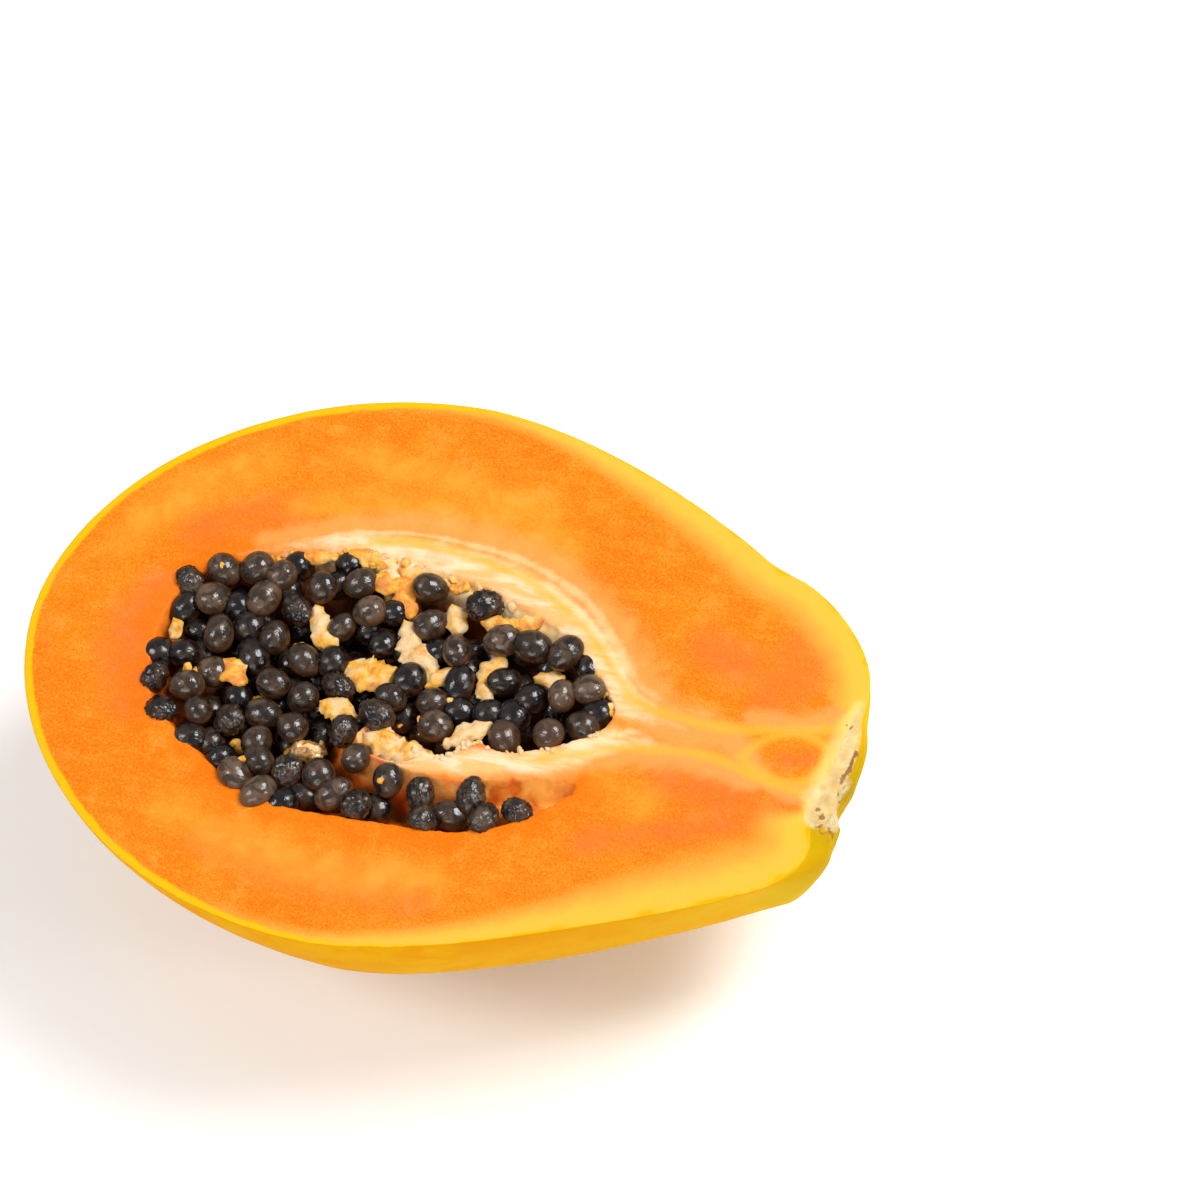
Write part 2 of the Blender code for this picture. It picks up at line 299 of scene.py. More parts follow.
class Hollow:
    """The opening in the cut face and the depth of the bowl under it."""

    def __init__(self):
        self.wall = rounded_line(HOLLOW_WALL)
        self.tongue = rounded_line(TONGUE_EDGE)
        loop = even_loop(np.vstack([self.wall[:-1], self.tongue[:-1]]), step=EDGE_STEP)
        torn = smooth(loop[:, 1], 8 * MM, 16 * MM) + smooth(loop[:, 0], 5 * MM, 20 * MM)
        self.edge = ragged(loop, 0.6 * MM, 2.2 * MM, 3, 0.6 + 0.6 * np.clip(torn, 0, 1))
        near_side = np.linspace(0, 1, len(self.tongue)) > 0.58
        self.tongue_slope = np.where(near_side, NEAR_SIDE_SLOPE, FAR_SIDE_SLOPE)

    def tissue(self, points):
        """How far below the cut torn tissue stands at each point, and its share there."""
        crest = np.full(len(points), 1.0)
        share = np.zeros(len(points))
        wobble = uneven(in_space(points), (0.5, 2.2, 6), (0.3, 0.9, 7))
        for ridge in TISSUE:
            line = rounded_line(ridge)
            off, nearest = distance_to(points, line[:, :2])
            across = np.clip((off + wobble) / line[nearest, 2], 0, 3)
            drop = 1.2 * MM * np.minimum(across, 1) ** 2 + 9 * MM * np.clip(across - 0.9, 0, None)
            crest = np.minimum(crest, line[nearest, 3] + drop)
            share = np.maximum(share, fall(across, 0.9, 1.4))
        return crest, share

    def gap(self, points):
        """Distance from the edge of the opening: over 0 on the cut face, under 0 in the hollow."""
        gap = distance_to(points, self.edge, True)[0]
        return np.where(inside_loop(points, self.edge), -gap, gap)

    def lobe(self, points):
        """The shallow lobe of the hollow below the tongue."""
        return smooth(points[:, 0], 0 * MM, 16 * MM) * smooth(-points[:, 1], 10 * MM, 13 * MM)

    def depth(self, points, gap):
        """Depth below the cut face."""
        to_wall = distance_to(points, self.wall)[0]
        to_tongue, nearest = distance_to(points, self.tongue)
        share = np.clip(np.minimum(to_wall, BOWL_WIDTH) / BOWL_WIDTH, 0, 1)
        bowl = HOLLOW_DEPTH * np.sqrt(1 - (1 - share) ** 2)
        side = HOLLOW_DEPTH * np.tanh(self.tongue_slope[nearest] * to_tongue / HOLLOW_DEPTH)
        blend = np.clip(0.5 + 0.5 * (side - bowl) / WALL_ROUNDING, 0, 1)
        depth = side * (1 - blend) + bowl * blend - WALL_ROUNDING * blend * (1 - blend) / 2
        depth = np.minimum(depth, self.tissue(points)[0])
        depth = np.minimum(depth, HOLLOW_DEPTH + (LOBE_DEPTH - HOLLOW_DEPTH) * self.lobe(points))
        return np.where(gap < 0, np.clip(depth, 0, None) * smooth(-gap, -0.2 * MM, 1.1 * MM), 0)


def hex_places(low, high, pitch, chance):
    """A slightly irregular honeycomb of places."""
    rows = int((high[1] - low[1]) / (pitch * HEX_ROW))
    columns = int((high[0] - low[0]) / pitch)
    row, column = np.mgrid[0:rows, 0:columns]
    places = np.column_stack([
        (low[0] + (column + (row % 2) * 0.5) * pitch).ravel(), (low[1] + row * HEX_ROW * pitch).ravel()])
    return places + chance.uniform(-0.12, 0.12, places.shape) * pitch


def top_places(rim, hollow, marked):
    """Places on the cut face and in the hollow, closer together where there is more to show."""
    chance = np.random.default_rng(11)
    edge = hollow.edge
    ahead = np.roll(edge, -1, axis=0)
    turned = np.sign((edge[:, 0] * ahead[:, 1] - ahead[:, 0] * edge[:, 1]).sum())
    groups = [pushed_in(rim, depth) for depth in (0.22 * MM, 0.6 * MM, 1.3 * MM)]
    groups += [pushed_in(edge, turned * depth) for depth in (-0.35 * MM, 0.3 * MM, 0.65 * MM)]
    for pitch, near, far in ((0.48 * MM, -1, 3 * MM), (0.95 * MM, 3 * MM, 1)):
        places = hex_places(rim.min(axis=0), rim.max(axis=0), pitch, chance)
        to_rim = distance_to(places, rim, True)[0]
        places = places[inside_loop(places, rim) & (to_rim > 1.7 * MM)]
        gap = hollow.gap(places)
        interest = np.where(gap < 0, 0, np.minimum(gap, distance_to(places, marked)[0]))
        clear = (np.abs(gap) > 0.45 * MM) & ((gap > 0.8 * MM) | (gap < -0.9 * MM))
        groups.append(places[clear & (interest >= near) & (interest < far)])
    return np.vstack(groups)


# Markings of the cut face, in millimetres: (x, y) or (x, y, half width)
WHITE_RINGS = [
    [(-36, 20.2, 0.2), (-31, 22.2, 0.3), (-23, 24.8, 0.4), (-13, 26.6, 0.4), (-2, 26.5, 0.5), (10, 25, 0.6),
     (22, 20, 0.7), (29, 13.6, 0.9), (34, 8.2, 1.0), (39, 4.4, 0.8), (46, 2.9, 0.5), (56, 2.5, 0.3)],
    [(4, 23.6, 0.2), (14, 21, 0.4), (23, 16.6, 0.6), (30, 10.4, 0.7), (35, 4.8, 0.7), (41, 2, 0.4)],
    [(20, -12.6, 0.3), (27, -9.8, 0.6), (33, -6.2, 0.8), (38, -3.2, 0.6), (44, -3.4, 0.3)],
]
VEINS = [
    [(-20, 23.4), (-12, 24.8), (-1, 24.2), (11, 21.5), (23, 15), (31, 7.6), (37.3, 2.4), (45.1, 1),
     (52.4, 0.6), (59.5, 1.3), (66.3, 2.8), (72.2, 4.2), (73.9, 6.4), (74.8, 9)],
    [(24, -11), (30, -9.6), (36.3, -6.8), (43.4, -5.8), (50.5, -5.1), (56, -5.6), (61.9, -7.3),
     (67.5, -8.2), (70.5, -8.5)],
    [(58.3, -4.1), (60.9, -0.6), (64.8, 1.7), (69.2, 2), (72.7, 0.2), (72.9, -3.1), (70.9, -6.1),
     (67.2, -7.2), (62.6, -6.6), (59.2, -5.2)],
]
PITH_BANDS = [
    [(-44, 16.2, 0.5), (-36, 19.2, 0.9), (-28, 21.8, 1.4), (-18, 23.2, 2.2), (-8, 22.8, 2.8), (3, 21.6, 3),
     (13, 18.8, 3.2), (22, 14, 3.1), (29, 8.4, 3), (35, 2.4, 2.8), (40, 0, 1.4), (47, -1, 0.6)],
    [(-8.8, -13.6, 1.6), (-4, -15.6, 2.2), (2, -16.2, 2.3), (9, -15.2, 2.4), (18, -13.2, 2.4),
     (26, -10.8, 2.5), (32, -7, 2.8), (37, -5, 2), (45, -5, 0.6)],
]
GLOW_BANDS = [
    [(-40, 20, 1.6), (-26, 25, 2.6), (-12, 27.4, 3.4), (4, 26.6, 4.2), (17, 22.4, 4.6), (28, 14.4, 5),
     (36, 5, 5.4), (45, -1, 4.4), (55, -1.5, 3.2), (64, -8, 1.6), (71, -9, 2)],
    [(10, -17, 2), (24, -14, 2.4), (36, -8, 3), (50, -6.4, 2.4), (62, -8.4, 1.8)],
    [(58, 3.4, 1.8), (68, 4.4, 2), (73, 7.4, 2.4)],
]
BLUSH_LINES = [
    [(36, -25.4, 2), (44.5, -22.4, 2), (51, -20.2, 2), (57.8, -18, 1.9), (63.8, -14.2, 1.8),
     (68, -10.4, 1.4)],
    [(-56, 7, 3), (-58, -3, 4), (-53, -14, 4)],
    [(60.5, 8.4, 3.6), (63.3, 13.8, 4.2), (64, 20, 3.4)],
    [(46, 15, 3), (54, 13, 3)],
    [(47, -11, 3), (57, -12, 4.2), (60, -13.4, 4)],
    [(-52, 20, 3), (-36, 27, 3)],
    [(-30, -38, 3), (-14, -41, 3), (10, -41, 3)],
    [(66, -3, 1.4), (70, -2, 1.2)],
]
PALE_LINES = [
    [(-40, -34, 3), (-24, -38, 4), (-6, -40, 4), (12, -38, 3)],
    [(-66, 14, 3), (-58, 26, 4), (-44, 36, 3)],
    [(-30, 40, 3), (-10, 38, 3), (10, 36, 3)],
    [(-36, 28, 2), (-18, 32, 3.2), (2, 32, 3.6), (16, 28, 3.4)],
    [(36, -14, 3), (44, -16, 3)],
]
SCAR_EDGE = [
    (75.6, 9.4, 1.2), (75.4, 5.4, 2.6), (75.2, 1, 3.2), (74.8, -3, 3.4), (74, -6.4, 3.2), (73.6, -10, 2.8),
    (73.6, -13, 1.4),
]
SCAR_BAND = [
    (76.2, 9, 0.3), (76.2, 5.4, 0.8), (76.2, 2.9, 1.3), (76.3, -0.8, 1.4), (76, -3.2, 1.4),
    (75.6, -5.7, 1.6), (75, -8.6, 2.6), (74.8, -11, 2.6), (74, -12.8, 1.2),
]
CRACKS = [
    [(77.8, 0.8, 0.25), (77.8, -0.6, 0.4), (77.3, -2.7, 0.5), (77, -4.5, 0.45), (77, -5.7, 0.3)],
    [(73.9, -10.3, 0.2), (74.5, -11.6, 0.45), (75.2, -12.4, 0.8), (75.5, -13, 0.6)],
    [(74.6, 5.4, 0.15), (75.5, 5.1, 0.2), (75.5, 5.9, 0.15)],
]
# The edge of the cut face round the stem end, with the notch beside the stalk's scar
STEM_RIM = [
    (51.5, 34.4), (57, 32.2), (62.5, 29.6), (67, 26.6), (70.6, 23.3), (73.5, 19.9), (75.6, 16.4),
    (76.6, 13.4), (76.9, 10.1), (77.1, 7.1), (77.9, 3.4), (77.9, 0.8), (77.5, -2.4), (77.2, -5.7),
    (77.4, -7.6), (77.4, -9.6), (77, -11.4), (75.4, -12.8), (73.8, -14), (74, -15.6), (74.6, -17.5),
    (74.7, -19.1), (74.3, -20.9), (73.5, -22.8), (72, -24.6), (70.4, -26.3), (68, -28), (64.6, -29.8),
    (60.7, -31.6),
]
STEM_RIM_FADES = 26 * MM
STEM_RIM_STEPS = 600
SOFTENED_OVER = 65
# How far the skin just below the cut stands out past that edge: (y, reach), in millimetres
SKIN_STANDS_OUT = [
    (-27, 0), (-22.5, 1.2), (-19, 2.6), (-16, 3.6), (-13.8, 4), (-12.2, 2.2), (-10.6, 0.5), (-8, 0.2),
    (-6, 0.8), (-3.5, 1.7), (0, 1.5), (3, 1.1), (8, 0.7), (14, 0.2), (18, 0),
]
STALK_Y = -9.2 * MM
NOTCH_Y = -14.6 * MM
SCAR_RADIUS = 5.4 * MM
STALK_RADIUS = 3.4 * MM
GROOVE_OUT = 1.2 * MM
UNDERCUT = 0.08


def band_share(points, bands, full=0.4, faded=1.7):
    """1 in the middle of the nearest band, falling to 0 beyond its half width."""
    share = np.zeros(len(points))
    for band in bands:
        line = rounded_line(band)
        gap, nearest = distance_to(points, line[:, :2])
        share = np.maximum(share, fall(gap / line[nearest, 2], full, faded))
    return share


def joined_skirt(upper, lower):
    """Faces between two rings of point numbers; the lower ring may have half as many."""
    if len(upper) == len(lower):
        return [(upper[i - 1], lower[i - 1], lower[i], upper[i]) for i in range(len(upper))]
    faces = []
    for i in range(len(lower)):
        a, b, c = upper[2 * i], upper[2 * i + 1], upper[(2 * i + 2) % len(upper)]
        d, e = lower[i], lower[(i + 1) % len(lower)]
        faces += [(a, d, b), (b, d, e), (b, e, c)]
    return faces


def with_stem_rim(rings):
    """The rings of the skin with the stem end's own outline, fading out further down."""
    def turn_and_reach(points):
        return np.arctan2(points[:, 1], points[:, 0]), np.hypot(points[:, 0], points[:, 1])

    turn_wanted, reach_wanted = turn_and_reach(rounded_line(STEM_RIM)[::-1])
    turn_rim, reach_rim = turn_and_reach(rings[0])
    order = np.argsort(turn_rim)
    low, high = turn_wanted[0], turn_wanted[-1]
    turns = np.linspace(low, high, STEM_RIM_STEPS)
    reach_there = np.interp(turns, turn_rim[order], reach_rim[order])
    change = np.interp(turns, turn_wanted, reach_wanted) / reach_there - 1
    change *= smooth(turns, low, low + 0.05) * fall(turns, high - 0.12, high)
    window = np.hanning(2 * SOFTENED_OVER + 1)
    softer = np.convolve(np.pad(change, SOFTENED_OVER), window / window.sum(), "valid")
    shaped = []
    for ring in rings:
        turn, _ = turn_and_reach(ring)
        below = CUT_HEIGHT - ring[:, 2]
        soft = smooth(below, 8 * MM, 18 * MM)
        sharp_change, soft_change = (np.interp(turn, turns, values) for values in (change, softer))
        factor = 1 + fall(below, 0, STEM_RIM_FADES) * (sharp_change * (1 - soft) + soft_change * soft)
        shaped.append(np.column_stack([ring[:, 0] * factor, ring[:, 1] * factor, ring[:, 2]]))
    return shaped


def with_stem_end(points, from_rim, scar, off_stalk, at_end):
    """The points with the rough scar of the stalk worked in."""
    x, y, z = points.T
    below = CUT_HEIGHT - z
    near_rim = fall(from_rim, 0, 5 * MM)
    rough = uneven(points, (0.9, 3.2, 21), (0.4, 1.3, 22))
    stalk = fall(off_stalk, STALK_RADIUS - 1 * MM, STALK_RADIUS + 0.6 * MM)
    groove = np.exp(-((off_stalk - STALK_RADIUS - GROOVE_OUT) / (0.7 * MM)) ** 2)
    on_skin = smooth(below, 0.3 * MM, 2 * MM)
    shift = scar * near_rim * (0.2 * MM + rough)
    shift = shift + (1.2 * MM * stalk + 0.6 * MM * groove) * near_rim * at_end * on_skin
    shift = shift + UNDERCUT * np.clip(below, 0, 24 * MM) * at_end * smooth(y, -12 * MM, -8 * MM)
    wider = np.interp(y / MM, *np.transpose(SKIN_STANDS_OUT)) * MM
    shift = shift - wider * at_end * smooth(below, 0, 2.4 * MM) * fall(below, 5 * MM, 20 * MM)
    height = z + scar * (from_rim > 0) * (0.5 * MM * lumps(points, 2.2 * MM, 23) - 0.3 * MM)
    return np.column_stack([x - shift, y, height])


def cut_face(rim, hollow):
    """The top laid flat: its points, its triangles and the numbers of the points along the rim."""
    marked = np.vstack([rounded_line(line)[:, :2] for line in [*VEINS, SCAR_BAND, *CRACKS]])
    flat = np.vstack([rim, hollow.edge, top_places(rim, hollow, marked)])
    rim_count, edge_count = len(rim), len(hollow.edge)
    loops = [(i, (i + 1) % rim_count) for i in range(rim_count)]
    loops += [(rim_count + i, rim_count + (i + 1) % edge_count) for i in range(edge_count)]
    points, _, triangles, sources, _, _ = delaunay_2d_cdt(
        [Vector(point) for point in flat], loops, [list(range(rim_count))], 1, 1e-8)
    rim_index = [0] * rim_count
    for number, came_from in enumerate(sources):
        for source in came_from:
            if source < rim_count:
                rim_index[source] = number
    return np.array([tuple(point) for point in points]), [tuple(face) for face in triangles], rim_index


def top_height(top, to_rim, gap, depth):
    """The height of the cut face, and of the hollow's walls and floor, at each point."""
    spot = np.column_stack([top, -depth])
    inner = smooth(-gap, 0.3 * MM, 2 * MM)
    to_tip = np.linalg.norm(top - np.array(TONGUE_TIP) * MM, axis=1)
    height = CUT_HEIGHT - depth - 0.1 * MM * fall(to_rim, 0, 0.5 * MM)
    height -= 0.12 * MM * fall(np.abs(gap), 0, 0.7 * MM) * (gap >= 0)
    height += inner * uneven(spot, (0.45, 3.4, 1), (0.2, 1.3, 2))
    height += (1 - inner) * smooth(to_rim, 0, 3 * MM) * 0.07 * MM * lumps(spot, 4 * MM, 4)
    height -= (gap >= 0) * 1.6 * MM * fall(to_tip, 1 * MM, 11 * MM)
    return height


def rind_width(x, y):
    """How wide the pale rim along the edge of the cut face is."""
    width = (2.2 + 3.8 * smooth(x, -10 * MM, 60 * MM)) * MM
    width = width * (1 + 0.35 * smooth(-y, 0, 20 * MM) * smooth(x, 20 * MM, 60 * MM))
    by_scar = smooth(y, -15 * MM, -12 * MM) * fall(y, 6 * MM, 11 * MM)
    return width * (1 - 0.6 * by_scar * smooth(x, 64 * MM, 71 * MM))


def top_marks(top, hollow, to_rim, gap, depth):
    """What is painted on the cut face and in the hollow, as a share or distance at each point."""
    x, y = top.T
    ends = smooth(x, -46 * MM, -18 * MM) * fall(x, 30 * MM, 47 * MM)
    lasting = np.maximum(0.25 + 0.75 * ends, smooth(x, 62 * MM, 70 * MM))
    by_tongue = fall(distance_to(top, hollow.tongue)[0], 1.2 * MM, 5 * MM)
    veins = [distance_to(top, rounded_line(line))[0] for line in VEINS]
    return {
        "rind": to_rim / rind_width(x, y),
        "gap": gap / MM,
        "deep": depth / MM,
        "pith": band_share(top, PITH_BANDS) * lasting,
        "glow": band_share(top, GLOW_BANDS, 0, 2),
        "white": band_share(top, WHITE_RINGS, 0, 2.2) * lasting,
        "vein": np.min(veins, axis=0) / MM,
        "blush": band_share(top, BLUSH_LINES, 0.1, 2.4),
        "pale": band_share(top, PALE_LINES, 0, 2),
        "tissue": hollow.tissue(top)[1],
        "lobe": hollow.lobe(top),
        "tongue": by_tongue * (1 - 0.8 * hollow.lobe(top)),
        "far": smooth(y + 0.35 * x, -2 * MM, 12 * MM),
        "blossom_side": smooth(-x, -20 * MM, 40 * MM),
        "scar_edge": band_share(top, [SCAR_EDGE], 0, 1.5),
    }


def half_fruit_mesh(hollow):
    rings = with_stem_rim(skin_rings(outer_surface()))
    rim = rings[0][:, :2]
    top, faces, above = cut_face(rim, hollow)
    to_rim = distance_to(top, rim, True)[0]
    gap = hollow.gap(top)
    depth = hollow.depth(top, gap)
    vertices = [np.column_stack([top, top_height(top, to_rim, gap, depth)])]
    count = start = len(top)
    top_faces = len(faces)
    step = 1
    for number, ring in enumerate(rings[1:], start=1):
        if number in THINNED_RINGS:
            step *= 2
        kept = ring[::step]
        below = list(range(start, start + len(kept)))
        faces += joined_skirt(above, below)
        vertices.append(kept)
        start += len(kept)
        above = below
    vertices.append(np.array([[0, 0, 0]]))
    faces += [(above[i - 1], start, above[i]) for i in range(len(above))]
    everything = np.vstack(vertices)

    x, y, z = everything.T
    off_stalk = np.hypot(y - STALK_Y, z - CUT_HEIGHT)
    at_end = smooth(x, 64 * MM, 73 * MM)
    scar = fall(off_stalk, SCAR_RADIUS - 2 * MM, SCAR_RADIUS + 1 * MM) * at_end
    scar[:count] = band_share(top, [SCAR_BAND], 0.4, 2.7)
    off_notch = np.hypot(y - NOTCH_Y, CUT_HEIGHT - z - 2 * MM)
    crack = 0.5 * fall(np.abs(off_stalk - STALK_RADIUS - GROOVE_OUT), 0, 0.8 * MM)
    crack = np.maximum(crack, 0.5 * fall(off_notch, 0.5 * MM, 2.4 * MM)) * at_end
    crack[:count] = band_share(top, CRACKS, 0.4, 1.4)
    belly = smooth(CUT_HEIGHT - z, 4 * MM, 26 * MM)
    marks = {
        **top_marks(top, hollow, to_rim, gap, depth),
        "scar": scar,
        "crack": crack,
        "green": np.clip(0.8 * smooth(x, 24 * MM, 76 * MM) + 0.2 * belly, 0, 1),
        "stem_green": at_end * fall(off_stalk, 7 * MM, 19 * MM),
    }

    from_rim = np.concatenate([to_rim, np.zeros(len(everything) - count)])
    everything = with_stem_end(everything, from_rim, scar, off_stalk, at_end)
    mesh = bpy.data.meshes.new("half_papaya")
    mesh.from_pydata(everything.tolist(), [], faces)
    mesh.polygons.foreach_set("material_index", [0] * top_faces + [1] * (len(faces) - top_faces))
    mesh.shade_smooth()
    for name, values in marks.items():
        full = np.zeros(len(everything), np.float32)
        full[:len(values)] = values
        mesh.attributes.new(name, "FLOAT", "POINT").data.foreach_set("value", full)
    return mesh


# ---------------------------------------------------------------- finishes

def linear(*colour):
    """A colour given in everyday 0 to 255 steps, as the shader wants it."""
    steps = [value / 255 for value in colour]
    return (*(step / 12.92 if step <= 0.04045 else ((step + 0.055) / 1.055) ** 2.4 for step in steps), 1)


FLESH_DEEP = linear(217, 107, 0)
FLESH_BRIGHT = linear(218, 116, 4)
FLESH_PALE = linear(223, 144, 40)
FLESH_RICH = linear(216, 102, 0)
FLESH_FLECK = linear(224, 160, 56)
FLESH_DARK = linear(210, 92, 0)
FLESH_RED = linear(221, 98, 40)
PEACH = linear(222, 148, 76)
CREAM_DEEP = linear(222, 178, 114)
CREAM = linear(226, 206, 170)
CREAM_PALE = linear(227, 196, 144)
GOLD_LINE = linear(222, 162, 46)
RIND_PEACH = linear(222, 154, 56)
RIND_PALE = linear(221, 168, 56)
RIND_GOLD = linear(222, 168, 4)
RIND_EDGE = linear(212, 156, 0)
SCAR_CREAM = linear(204, 188, 140)
SCAR_TAN = linear(192, 162, 110)
SCAR_GREEN = linear(186, 166, 90)
SCAR_YELLOW = linear(222, 184, 100)
SCAR_BROWN = linear(134, 90, 52)
LINING_DEEP = linear(208, 78, 0)
LINING_BRIGHT = linear(222, 118, 26)
LINING_TAN = linear(206, 142, 84)
# Painted shade for the deep parts of the hollow
LINING_PAINTED_SHADE = linear(120, 56, 16)
LOBE_PINK = linear(240, 164, 66)
BIT_ORANGE = linear(214, 124, 30)
BIT_YELLOW = linear(224, 160, 44)
BIT_CREAM = linear(218, 182, 134)
BIT_TAN = linear(172, 118, 74)
SKIN_DEEP = linear(212, 140, 0)
SKIN_GOLD = linear(218, 156, 0)
SKIN_WARM = linear(210, 130, 0)
SKIN_GREEN = linear(198, 164, 14)
SKIN_SPECK = linear(180, 110, 10)
SKIN_OLIVE = linear(168, 136, 8)
JELLY_BLACK = linear(16, 9, 10)
JELLY_OLIVE = linear(50, 37, 26)
JELLY_GREY = linear(90, 70, 54)
# Painted glow of light through the jelly, laid on the seeds' lower sides
JELLY_PAINTED_GLOW = linear(100, 62, 32)
JELLY_AMBER = linear(98, 66, 46)
AMBER_DARK = linear(96, 62, 22)
AMBER_LIGHT = linear(176, 128, 62)
PAPER = linear(250, 250, 250)


class Tree:
    """A node tree put together node by node."""

    def __init__(self, tree):
        self.tree = tree

    def put(self, socket, value):
        if isinstance(value, bpy.types.NodeSocket):
            self.tree.links.new(value, socket)
        else:
            socket.default_value = value

    def node(self, kind, inputs=(), **settings):
        """Adds a node and returns its outputs."""
        node = self.tree.nodes.new(kind)
        for name, value in settings.items():
            setattr(node, name, value)
        for name, value in dict(inputs).items():
            self.put(node.inputs[name], value)
        return node.outputs

    def sum(self, kind, first, second):
        return self.node("ShaderNodeMath", {0: first, 1: second}, operation=kind)[0]

    def plus(self, first, second):
        return self.sum("ADD", first, second)

    def minus(self, first, second):
        return self.sum("SUBTRACT", first, second)

    def times(self, first, second):
        return self.sum("MULTIPLY", first, second)


class Finish(Tree):
    """A material: its nodes and the shader that they end in. Sizes are in millimetres."""

    def __init__(self, name):
        self.material = bpy.data.materials.new(name)
        self.material.use_nodes = True
        super().__init__(self.material.node_tree)
        self.shader = self.tree.nodes["Principled BSDF"]
        self.place = self.node("ShaderNodeTexCoord")["Object"]

    def mark(self, name):
        return self.node("ShaderNodeAttribute", attribute_name=name)["Fac"]

    def stretched(self, scale, turn=(0, 0, 0)):
        return self.node("ShaderNodeMapping", {"Scale": scale, "Rotation": turn, "Vector": self.place})[0]

    def noise(self, size, detail, rough, warp=0.0, place=None):
        return self.node("ShaderNodeTexNoise", {
            "Vector": place or self.place, "Scale": 1 / (size * MM), "Detail": detail,
            "Roughness": rough, "Distortion": warp})["Fac"]

    def cells(self, size, place=None):
        return self.node("ShaderNodeTexVoronoi", {
            "Vector": place or self.place, "Scale": 1 / (size * MM)})["Distance"]

    def rise(self, value, low, high, least=0.0, most=1.0):
        return self.node("ShaderNodeMapRange", {
            "Value": value, "From Min": low, "From Max": high, "To Min": least, "To Max": most,
        }, interpolation_type="SMOOTHSTEP")["Result"]

    def blend(self, share, first, second):
        return self.node("ShaderNodeMix", {"Factor": share, 6: first, 7: second}, data_type="RGBA")[2]

    def layers(self, colour, *layers):
        """Lays colours over the first, by a share or as a value goes from low to high.

        Each is (share, colour) or (value, low, high, most, colour).
        """
        for *share, over in layers:
            if len(share) > 1:
                value, low, high, most = share
                share = [self.rise(value, low, high, 0, most)]
            colour = self.blend(share[0], colour, over)
        return colour

    def wavering(self, name, texture, least, most):
        """A mark with a texture added to it."""
        return self.plus(self.mark(name), self.rise(texture, 0.3, 0.7, least, most))

    def patchy(self, name, texture, low, high, least, most=1.0):
        """A mark that shows more in some patches than in others."""
        return self.times(self.mark(name), self.rise(texture, low, high, least, most))

    def bumps(self, *bumps):
        """Bumps on top of each other, each given as (height, depth, strength)."""
        normal = None
        for height, depth, strength in bumps:
            inputs = {"Distance": depth * MM, "Strength": strength, "Height": height}
            if normal is not None:
                inputs["Normal"] = normal
            normal = self.node("ShaderNodeBump", inputs)[0]
        return normal

    def settle(self, colour, rough, normal=None, plain=()):
        """Gives the shader its colour, roughness and normal, and its plain values by name."""
        inputs = {"Base Color": colour, "Roughness": rough, **dict(plain)}
        if normal is not None:
            inputs["Normal"] = normal
        for name, value in inputs.items():
            self.put(self.shader.inputs[name], value)
        return self.material


def translucent(share, *reach):
    """Shader values for light that sinks in, and how far its red, green and blue go, in millimetres."""
    return {"Subsurface Weight": share, "Subsurface Scale": 1.0,
            "Subsurface Radius": [step * MM for step in reach]}


